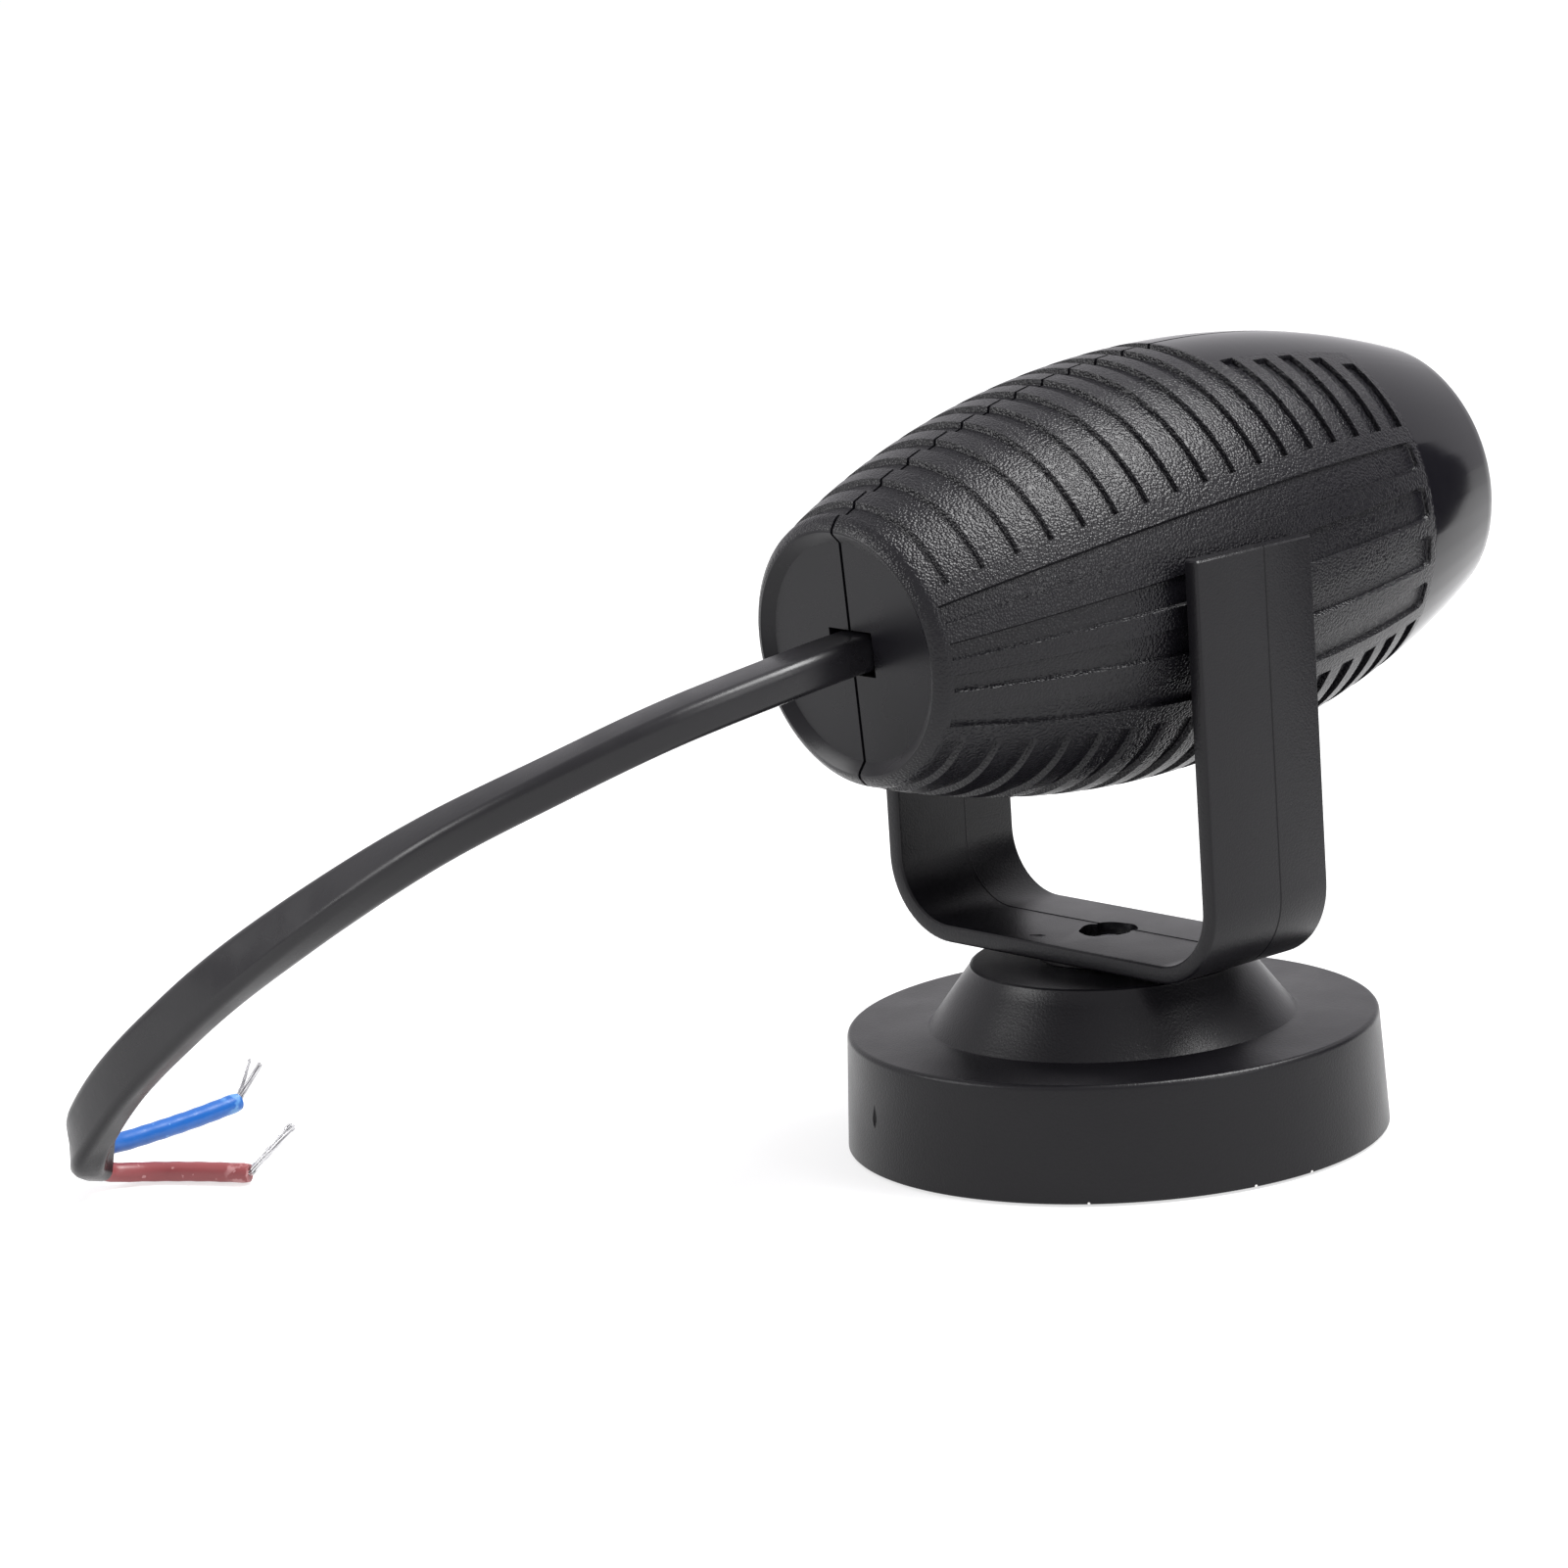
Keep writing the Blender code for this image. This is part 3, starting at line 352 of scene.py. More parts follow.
class Nodes:
    """A small helper that wires a material's nodes."""

    def __init__(self, name: str) -> None:
        """Starts a material.

        Args:
            name: the material's name.
        """
        self.material = bpy.data.materials.new(name)
        self.material.use_nodes = True
        self.tree = self.material.node_tree
        self.shader = self.tree.nodes["Principled BSDF"]
        self.place = self.add("ShaderNodeTexCoord").outputs["Object"]

    def add(self, kind: str, **inputs: object) -> bpy.types.Node:
        """Makes a node and fills in or connects its inputs.

        Args:
            kind: the node's type name.
            inputs: socket name (underscores for spaces) to a value or another node's output.

        Returns:
            The node.
        """
        node = self.tree.nodes.new(kind)
        for key, value in inputs.items():
            self.put(node.inputs[key.replace("_", " ")], value)
        return node

    def put(self, socket: Socket, value: object) -> None:
        """Sets a socket to a plain value or connects it to an output.

        Args:
            socket: the input to fill.
            value: a plain value or another node's output.
        """
        if isinstance(value, Socket):
            self.tree.links.new(value, socket)
        else:
            socket.default_value = value

    def calc(self, operation: str, a: object, b: object = 0.0) -> Socket:
        """One arithmetic step.

        Args:
            operation: its name, such as ADD.
            a: first number or output.
            b: second number or output.

        Returns:
            The result.
        """
        node = self.tree.nodes.new("ShaderNodeMath")
        node.operation = operation
        self.put(node.inputs[0], a)
        self.put(node.inputs[1], b)
        return node.outputs[0]

    def ramp(self, value: object, low: float, high: float, to: Corner = (0, 1)) -> Socket:
        """A smooth change between two numbers.

        Args:
            value: what drives it.
            low: where the change starts.
            high: where it ends.
            to: the two numbers.

        Returns:
            The result.
        """
        node = self.tree.nodes.new("ShaderNodeMapRange")
        node.interpolation_type = "SMOOTHSTEP"
        for socket, number in zip(list(node.inputs)[:5], (value, low, high, to[0], to[1])):
            self.put(socket, number)
        return node.outputs[0]

    def noise(self, size: float, detail: float = 3.0) -> Socket:
        """Smooth noise with features of the given width."""
        return self.add("ShaderNodeTexNoise", Vector=self.place, Scale=1 / size, Detail=detail).outputs[0]

    def vector_step(self, operation: str, *values: object) -> bpy.types.Node:
        """One arithmetic step on vectors.

        Args:
            operation: its name, such as DISTANCE.
            values: vectors or outputs, in the order of the node's sockets.

        Returns:
            The node.
        """
        node = self.tree.nodes.new("ShaderNodeVectorMath")
        node.operation = operation
        for socket, value in zip(node.inputs, values):
            self.put(socket, value)
        return node

    def pebbles(self, size: float) -> Socket:
        """Rounded, uneven cells of the given width, high in the middle.

        Args:
            size: width of one cell.

        Returns:
            The height.
        """
        wobble = self.add("ShaderNodeTexNoise", Vector=self.place, Scale=1 / size, Detail=2.0)
        moved = self.vector_step("MULTIPLY_ADD", wobble.outputs["Color"], (size * 0.5,) * 3, self.place)
        cells = self.add("ShaderNodeTexVoronoi", Vector=moved.outputs[0], Scale=1 / size)
        return self.ramp(cells.outputs["Distance"], 0.1, 0.9, (1, 0))

    def axes(self) -> Tuple[Socket, Socket, Socket]:
        """The three coordinates in the piece's own frame."""
        split = self.add("ShaderNodeSeparateXYZ", Vector=self.place)
        return split.outputs[0], split.outputs[1], split.outputs[2]

    def near(self, spot: Point, reach: float) -> Socket:
        """1 at a spot, falling to 0 at the given reach."""
        away = self.vector_step("DISTANCE", self.place, spot)
        return self.ramp(away.outputs["Value"], reach * 0.6, reach, (1, 0))

    def blend(self, share: object, first: object, second: object) -> Socket:
        """A mix of two colours.

        Args:
            share: 0 for the first, 1 for the second.
            first: a colour or an output.
            second: the same.

        Returns:
            The mixed colour.
        """
        node = self.tree.nodes.new("ShaderNodeMix")
        node.data_type = "RGBA"
        for number, value in ((0, share), (6, first), (7, second)):
            self.put(node.inputs[number], value)
        return node.outputs[2]


STAIN_SIZE = 0.006
STAIN_RANGE = (0.3, 0.7)
TINT_SIZE = 0.004
POLISH_SIZE = 0.008


@dataclass(frozen=True)
class Finish:
    """How one material looks.

    Attributes:
        name: the material's name.
        colour: linear red, green and blue.
        roughness: 0 polished to 1 matt.
        metallic: 1 for bare metal.
        specular: strength of the plain reflection; 0.5 is common plastic.
        coat: strength of a clear top layer.
        coat_roughness: how dull that layer is.
        ior: index of refraction.
        transmission: 1 for clear pieces.
        glow: strength of its own light.
        grain: fine relief, if any.
        mottle: how far the colour's brightness varies.
    """

    name: str
    colour: Colour
    roughness: float
    metallic: float = 0.0
    specular: float = 0.5
    coat: float = 0.0
    coat_roughness: float = 0.1
    ior: float = 1.5
    transmission: float = 0.0
    glow: float = 0.0
    grain: Optional[Grain] = None
    mottle: float = 0.06

    def relief(self, n: Nodes) -> Socket:
        """The height of the fine relief, as a node output.

        Args:
            n: the material's nodes.

        Returns:
            The height.
        """
        if self.grain.kind is GrainKind.PEBBLE:
            return n.pebbles(self.grain.size)
        return n.noise(self.grain.size)

    def tint(self, n: Nodes) -> Socket:
        """The base colour, slightly uneven.

        Args:
            n: the material's nodes.

        Returns:
            The colour.
        """
        dark = tuple(c * (1 - self.mottle) for c in self.colour) + (1.0,)
        light = tuple(min(1.0, c * (1 + self.mottle)) for c in self.colour) + (1.0,)
        return n.blend(n.noise(TINT_SIZE), dark, light)

    def roughness_node(self, n: Nodes) -> Socket:
        """The roughness, with slow stains.

        Args:
            n: the material's nodes.

        Returns:
            The roughness.
        """
        change = self.grain.sheen_change if self.grain else 0.03
        low, high = max(0.02, self.roughness - change), min(1.0, self.roughness + change)
        return n.ramp(n.noise(STAIN_SIZE), *STAIN_RANGE, (low, high))

    def bump(self, n: Nodes, depth: object) -> None:
        """Connects the relief, at the given depth, to the shader."""
        bump = n.add("ShaderNodeBump", Strength=1.0, Distance=depth, Height=self.relief(n))
        n.put(n.shader.inputs["Normal"], bump.outputs[0])

    def connect(self, n: Nodes) -> None:
        """Connects colour, roughness and relief to the shader.

        Args:
            n: the material's nodes.
        """
        n.put(n.shader.inputs["Base Color"], self.tint(n))
        n.put(n.shader.inputs["Roughness"], self.roughness_node(n))
        if self.grain:
            self.bump(n, self.grain.depth)

    def material(self) -> Material:
        """Builds the node material.

        Returns:
            The material.
        """
        n = Nodes(self.name)
        constants = {
            "Metallic": self.metallic,
            "Specular IOR Level": self.specular,
            "Coat Weight": self.coat,
            "Coat Roughness": self.coat_roughness,
            "IOR": self.ior,
            "Transmission Weight": self.transmission,
            "Emission Color": (*self.colour, 1.0),
            "Emission Strength": self.glow,
        }
        for socket, value in constants.items():
            n.shader.inputs[socket].default_value = value
        self.connect(n)
        return n.material


@dataclass(frozen=True)
class HousingFinish(Finish):
    """Pebbled black plastic that turns smooth and glossy on the nose and along its top and bottom strips.

    Attributes:
        nose_y: where the gloss begins, along the lamp.
        nose_fade: how far it takes to begin.
        strip_y: where the strips begin.
        strip_fade: how far they take to begin.
        strip_half_width: half the width of each strip.
        strip_edge: how soft the strips' sides are.
        gloss: roughness of the smooth area.
        gloss_change: how far the gloss swings, as a share.
        rear_radius: the grain ends at this distance from the axis, so the rear face stays smooth.
        rear_fade: how far it takes to end.
    """

    nose_y: float = -0.0338
    nose_fade: float = 0.0007
    strip_y: float = -0.0128
    strip_fade: float = 0.0006
    strip_half_width: float = 0.0088
    strip_edge: float = 0.0005
    gloss: float = 0.12
    gloss_change: float = 0.2
    rear_radius: float = 0.0134
    rear_fade: float = 0.0002

    def smooth_area(self, n: Nodes) -> Socket:
        """1 where the housing is polished, 0 where it is grained.

        Args:
            n: the material's nodes.

        Returns:
            The mask.
        """
        x, y, _ = n.axes()
        nose = n.ramp(y, self.nose_y, self.nose_y - self.nose_fade)
        inside = self.strip_half_width - self.strip_edge
        across = n.ramp(n.calc("ABSOLUTE", x), self.strip_half_width, inside)
        along = n.ramp(y, self.strip_y, self.strip_y - self.strip_fade)
        return n.calc("MAXIMUM", nose, n.calc("MULTIPLY", across, along))

    def connect(self, n: Nodes) -> None:
        """Connects the grained and the polished area to the shader.

        Args:
            n: the material's nodes.
        """
        smooth = self.smooth_area(n)
        grained = n.calc("SUBTRACT", 1.0, smooth)
        x, _, z = n.axes()
        from_axis = n.calc("SQRT", n.calc("ADD", n.calc("MULTIPLY", x, x), n.calc("MULTIPLY", z, z)))
        outside = n.ramp(from_axis, self.rear_radius, self.rear_radius + self.rear_fade)
        pebbled = n.calc("MULTIPLY", grained, outside)
        n.put(n.shader.inputs["Base Color"], self.tint(n))
        rough = n.calc("MULTIPLY", self.roughness_node(n), grained)
        swing = (self.gloss * (1 - self.gloss_change), self.gloss * (1 + self.gloss_change))
        polish = n.calc("MULTIPLY", n.ramp(n.noise(POLISH_SIZE), *STAIN_RANGE, swing), smooth)
        n.put(n.shader.inputs["Roughness"], n.calc("ADD", rough, polish))
        self.bump(n, n.calc("MULTIPLY", pebbled, self.grain.depth))


@dataclass(frozen=True)
class ChippedFinish(Finish):
    """A finish with a few pale chips.

    Attributes:
        chips: where they are.
        chip_size: how far each reaches.
        chip_colour: their colour.
    """

    chips: Tuple[Point, ...] = ()
    chip_size: float = 0.0002
    chip_colour: Colour = (0.75, 0.74, 0.72)

    def tint(self, n: Nodes) -> Socket:
        """The base colour with the chips on it.

        Args:
            n: the material's nodes.

        Returns:
            The colour.
        """
        colour = Finish.tint(self, n)
        for chip in self.chips:
            colour = n.blend(n.near(chip, self.chip_size), colour, (*self.chip_colour, 1.0))
        return colour


@dataclass(frozen=True)
class CoreFinish(Finish):
    """Cable core insulation with a pale scuff by its cut end.

    Attributes:
        cut_end: middle of the cut end.
        scuff_reach: how far the scuff goes along the core.
        scuff_colour: its colour.
        scuff_strength: how much of that colour shows.
        patch_size: width of the scuff's patches.
        patch_range: how much of the area they cover.
        speck_size: width of the specks all over the core.
        speck_range: how much of the core they cover.
    """

    cut_end: Point = (0.0, 0.0, 0.0)
    scuff_reach: float = 0.0032
    scuff_colour: Colour = (0.5, 0.5, 0.5)
    scuff_strength: float = 0.55
    patch_size: float = 0.0016
    patch_range: Corner = (0.46, 0.58)
    speck_size: float = 0.0007
    speck_range: Corner = (0.72, 0.76)

    def tint(self, n: Nodes) -> Socket:
        """The core's colour, rubbed pale near the end and in a few specks.

        Args:
            n: the material's nodes.

        Returns:
            The colour.
        """
        uneven = n.ramp(n.noise(self.patch_size), *self.patch_range)
        patch = n.calc("MULTIPLY", n.near(self.cut_end, self.scuff_reach), uneven)
        specks = n.ramp(n.noise(self.speck_size, 1.0), *self.speck_range)
        share = n.calc("MULTIPLY", n.calc("MAXIMUM", patch, specks), self.scuff_strength)
        return n.blend(share, Finish.tint(self, n), (*self.scuff_colour, 1.0))


# ---- camera, light and floor ----


@dataclass(frozen=True)
class Viewpoint:
    """Where the camera stands.

    Attributes:
        azimuth_deg: 0 looks along +Y and 90 along -X.
        elevation_deg: height above the horizon.
        roll_deg: turn about the line of sight.
        distance: from the target.
        target: the point in the middle of the view.
        lens_mm: focal length on a 36 mm sensor.
    """

    azimuth_deg: float = 229.01
    elevation_deg: float = 12.18
    roll_deg: float = -3.79
    distance: float = 0.68402
    target: Point = (0.02059, 0.02785, 0.04236)
    lens_mm: float = 143.95

    def matrix(self) -> Matrix:
        """The camera's place and turn in the row frame."""
        a, e, roll = (math.radians(v) for v in (self.azimuth_deg, self.elevation_deg, self.roll_deg))
        back = Vector((math.sin(a) * math.cos(e), -math.cos(a) * math.cos(e), math.sin(e)))
        level = Vector((0, 0, 1)).cross(back).normalized()
        upright = back.cross(level)
        right = level * math.cos(roll) + upright * math.sin(roll)
        up = upright * math.cos(roll) - level * math.sin(roll)
        turn = Matrix((right, up, back)).transposed().to_4x4()
        return Matrix.Translation(Vector(self.target) + back * self.distance) @ turn

    def build(self) -> Piece:
        """Makes the camera.

        Returns:
            The camera object.
        """
        data = bpy.data.cameras.new("camera")
        data.lens = self.lens_mm
        data.sensor_width = 36.0
        data.clip_start, data.clip_end = 0.01, 20.0
        camera = bpy.data.objects.new("camera", data)
        bpy.context.scene.collection.objects.link(camera)
        camera.matrix_world = self.matrix()
        bpy.context.scene.camera = camera
        return camera


@dataclass(frozen=True)
class Softbox:
    """One area light.

    Attributes:
        name: its name.
        place: its middle.
        aim: the point it faces.
        size: width and height.
        power: watts.
    """

    name: str
    place: Point
    aim: Point
    size: Corner
    power: float

    def build(self) -> None:
        """Makes the light."""
        data = bpy.data.lights.new(self.name, "AREA")
        data.shape = "RECTANGLE"
        data.size, data.size_y = self.size
        data.energy = self.power
        light = bpy.data.objects.new(self.name, data)
        bpy.context.scene.collection.objects.link(light)
        light.location = self.place
        facing = Vector(self.aim) - Vector(self.place)
        light.rotation_mode = "QUATERNION"
        light.rotation_quaternion = facing.to_track_quat("-Z", "Y")


@dataclass(frozen=True)
class Studio:
    """Pale floor, bright surroundings and soft lights.

    Attributes:
        floor_size: side of the square floor.
        floor_colour: the paper's own colour.
        floor_glow: strength of its light, which keeps it evenly pale.
        sky: brightness of the surroundings.
        sky_colour: their colour.
        card_size: width and height of the dark card that the nose reflects.
        card_place: the card's middle.
        card_colour: its colour.
        card_sides: corners of its rim.
        lights: the softboxes.
    """

    floor_size: float = 8.0
    floor_colour: Colour = (0.38, 0.38, 0.38)
    floor_glow: float = 1.75
    sky: float = 0.82
    sky_colour: Colour = (0.98, 0.96, 1.0)
    card_size: Corner = (0.116, 0.136)
    card_place: Point = (-0.089, -0.175, 0.066)
    card_colour: Colour = (0.03, 0.03, 0.033)
    card_sides: int = 48
    lights: Tuple[Softbox, ...] = (
        Softbox("overhead", (-0.22, -0.22, 0.72), (0, 0, 0.05), (0.38, 0.38), 8.5),
        Softbox("rear_left", (0.45, 0.75, 0.45), (0, 0, 0.05), (0.40, 0.40), 4.0),
        Softbox("near_side", (-0.80, -0.10, 0.45), (0, 0, 0.05), (0.30, 0.50), 2.0),
    )

    def dark_card(self) -> None:
        """Stands a dark oval card in front of the lamp, which shows only as a reflection."""
        middle = Vector(self.card_place)
        sideways = Vector((-middle.y, middle.x, 0.0)).normalized() * (self.card_size[0] / 2)
        upright = Vector((0, 0, self.card_size[1] / 2))
        rim = ring_round(middle, sideways, upright, 1.0, self.card_sides)
        card = link("dark_card", mesh_from(rim, [range(self.card_sides)], "dark_card"))
        felt = Finish("card_felt", self.card_colour, 0.9, specular=0.0)
        card.data.materials.append(felt.material())
        card.visible_camera = card.visible_diffuse = card.visible_shadow = False

    def floor(self) -> None:
        """Lays the floor."""
        half = self.floor_size / 2
        corners = [(-half, -half, 0), (half, -half, 0), (half, half, 0), (-half, half, 0)]
        floor = link("floor", mesh_from(corners, [range(4)], "floor"))
        paper = Finish(
            "floor_paper", self.floor_colour, 0.8, specular=0.1, glow=self.floor_glow, mottle=0.01
        )
        floor.data.materials.append(paper.material())

    def build(self) -> None:
        """Makes the floor, the world and the lights."""
        self.floor()
        world = bpy.data.worlds.new("surroundings")
        world.use_nodes = True
        backdrop = world.node_tree.nodes["Background"]
        backdrop.inputs["Color"].default_value = (*self.sky_colour, 1.0)
        backdrop.inputs["Strength"].default_value = self.sky
        bpy.context.scene.world = world
        bpy.context.scene.view_settings.view_transform = "Standard"
        self.dark_card()
        for light in self.lights:
            light.build()


# ---- lamp head ----


@dataclass(frozen=True)
class BarrelSize:
    """Sizes of the barrel, in the lamp's own frame: origin on the tilt axis, nose towards -Y."""

    pivot: Point = (0.0, 0.0, 0.0627)
    nose_up_deg: float = 3.8
    # the side is an arc: its largest radius, the arc's own radius and where it is widest
    radius: float = 0.0232
    arc: float = 0.1100
    belly_y: float = -0.0074
    rear_y: float = 0.0361
    nose_y: float = -0.0494
    wall: float = 0.0018
    half_gap: float = 0.0002
    disc_radius: float = 0.0119
    disc_depth: float = 0.0010
    rear_wall: float = 0.0020
    lens_opening: float = 0.0130
    lens_seat: float = 0.0146
    slot: Corner = (0.0066, 0.0049)
    slot_depth: float = 0.0045
    pin_bore: float = 0.0033
    pin_floor_x: float = 0.0185
    outside_x: float = 0.0300
    screw_bore: float = 0.0027
    screw_boss: float = 0.0038
    screw_hole: float = 0.0015
    screw_seat_x: float = 0.0060
    screw_seat_wall: float = 0.0010
    screw_places: Tuple[Corner, ...] = (
        (0.0200, 0.0130), (0.0200, -0.0130), (-0.0150, 0.0150), (-0.0150, -0.0150),
    )
    # the wall's section: rings of the rear disc, its rim (back from the rear end, radius) and shoulder
    innermost: float = 0.0010
    disc_step: float = 0.0060
    rim: Tuple[Corner, ...] = ((0.00015, 0.0129), (0.0, 0.0132), (0.0001, 0.0136), (0.0004, 0.0140))
    shoulder: float = 0.0008
    soft_edge: float = 0.0001
    # the front edge (back from the nose, in from its radius), the lens seat and the holder's step
    lip: Tuple[Corner, ...] = ((0.0003, 0.0001), (0.0001, 0.0004), (0.0, 0.0008))
    lip_round: float = 0.0003
    lens_y: Corner = (-0.0476, -0.0436)
    holder: Corner = (-0.0424, 0.0134)
    # extra rows of the mesh at the rim, the gloss line and the nose
    plain_rows: Tuple[float, ...] = (0.0350, -0.0337, -0.0345)
    nose_rows: Tuple[float, ...] = tuple(-0.0355 - 0.001 * i for i in range(13))

    def radius_at(self, y: float) -> float:
        """Outer radius at a place along the barrel."""
        return self.radius - self.arc + math.sqrt(self.arc**2 - (y - self.belly_y) ** 2)

    def across(self, x: float) -> float:
        """Distance from the split plane once the gap between the halves is taken off."""
        return self.half_gap + x * (1 - self.half_gap / self.radius)

    def placed(self) -> Matrix:
        """Turns the lamp's own frame into the row frame at rest."""
        return Matrix.Translation(self.pivot) @ Matrix.Rotation(-math.radians(self.nose_up_deg), 4, "X")


@dataclass(frozen=True)
class Recess:
    """One long recess of the side panel: its lower and upper edges, in degrees from the panel's middle."""

    low_rear: float
    low_front: float
    high_rear: float
    high_front: float

    def edges(self, share: float) -> Corner:
        """Both edges at a share of the way from the panel's rear to its front."""
        return between(self.low_rear, self.low_front, share), between(self.high_rear, self.high_front, share)


WALL_STEPS = (-0.0001, -0.00003, 0.00003, 0.0001)
WALL_SOFTNESS = 0.0001


@dataclass(frozen=True)
class RibPattern:
    """The relief moulded into the barrel: grooves round it and two pairs of long recesses on each side."""

    # grooves: the rearmost one's front edge, spacing, number, width and depth
    first_y: float = 0.0325
    pitch: float = 0.0041
    count: int = 17
    width: float = 0.00195
    depth: float = 0.00060
    panel_depth: float = 0.00050
    # the panel's middle, where long grooves start and short ones end, from that middle
    middle_deg: float = -1.2
    end_deg: float = 33.2
    short_ends_deg: Tuple[float, ...] = (69.5, 66.5, 66.5, 63.6, 59.5)
    corner: float = 0.0009
    recesses: Tuple[Recess, ...] = (Recess(18.5, 18.4, 25.6, 27.4), Recess(3.4, 2.7, 9.8, 12.6))
    # rows of the mesh on plain areas
    panel_rows: Tuple[Corner, ...] = ((1.2, 1.0), (14.2, 15.5), (29.5, 30.3))
    row_pitch_deg: float = 2.4
    row_clearance_deg: float = 0.9
    last_row_deg: float = 89.5
    row_radius: float = 0.0145

    def front_of(self, number: int) -> float:
        """Front edge of a groove, counted from the rear."""
        return self.first_y - self.pitch * number

    def ends_of(self, number: int) -> Corner:
        """Where a groove starts and stops round the barrel, in degrees from the panel's middle."""
        short = number - (self.count - len(self.short_ends_deg))
        return self.end_deg, self.short_ends_deg[short] if short >= 0 else 180.0

    def span(self) -> Corner:
        """Rear and front ends of the whole pattern along the barrel."""
        return self.front_of(0) + self.width, self.front_of(self.count - 1)

    def share(self, y: float) -> float:
        """How far along the pattern a place is, 0 at its rear and 1 at its front."""
        rear, front = self.span()
        return min(max((rear - y) / (rear - front), 0.0), 1.0)

    def depth_at(self, y: float, deg: float, radius: float) -> float:
        """Depth of the relief at a place.

        Args:
            y: place along the barrel.
            deg: angle from the panel's middle.
            radius: the barrel's radius there.

        Returns:
            The depth below the barrel's plain surface.
        """
        turn = abs(deg)
        arc = radius * math.pi / 180
        deepest = 0.0
        for number in range(self.count):
            front = self.front_of(number)
            if front - WALL_SOFTNESS < y < front + self.width + WALL_SOFTNESS:
                start, stop = self.ends_of(number)
                inside = min(y - front, front + self.width - y, (turn - start) * arc, (stop - turn) * arc)
                deepest = self.depth * self.wall_share(inside)
        rear, front = self.span()
        for recess in self.recesses:
            low, high = recess.edges(self.share(y))
            ahead = y - front
            side = min(turn - low, high - turn) * arc
            inside = min(rear - y, ahead, side)
            if ahead < self.corner and side < self.corner:
                inside = self.corner - math.hypot(self.corner - ahead, self.corner - side)
            deepest = max(deepest, self.panel_depth * self.wall_share(inside))
        return deepest

    @staticmethod
    def wall_share(inside: float) -> float:
        """How far down a steep wall with rounded edges a place is, from its distance inside the outline."""
        return smooth_step(inside / WALL_SOFTNESS * 0.5 + 0.5)

    def stations(self) -> List[float]:
        """Places along the barrel that the mesh needs to follow every wall."""
        places = []
        for number in range(self.count):
            front = self.front_of(number)
            for edge in (front, front + self.width):
                places += [edge + off for off in WALL_STEPS]
            places += [front + self.width / 2, front - (self.pitch - self.width) / 2]
        last = self.front_of(self.count - 1)
        return places + [last + 0.00025, last + 0.0005, last + 0.0008]

    def rows(self) -> List[Tuple[float, float, float]]:
        """Lines along the barrel that the mesh needs: rear angle, front angle and an offset across.

        Returns:
            Rows for one side of the panel's middle, in order away from it.
        """
        lines = []
        for recess in reversed(self.recesses):
            for rear, front, inward in (
                (recess.low_rear, recess.low_front, 1),
                (recess.high_rear, recess.high_front, -1),
            ):
                offsets = list(WALL_STEPS) + [0.0003 * inward, 0.0006 * inward]
                lines += [(rear, front, off) for off in sorted(offsets)]
        lines += [(rear, front, 0.0) for rear, front in self.panel_rows]
        for end in [self.end_deg] + sorted(set(self.short_ends_deg)):
            lines += [(end, end, off) for off in WALL_STEPS]
        deg = self.end_deg + self.row_pitch_deg
        while deg < self.last_row_deg:
            if all(abs(deg - end) > self.row_clearance_deg for end in self.short_ends_deg):
                lines.append((deg, deg, 0.0))
            deg += self.row_pitch_deg
        return sorted(lines, key=lambda line: line[0] + math.degrees(line[2] / self.row_radius))


LEAST_ROW_RADIUS = 0.0140
END_CLEARANCE_DEG = 0.3


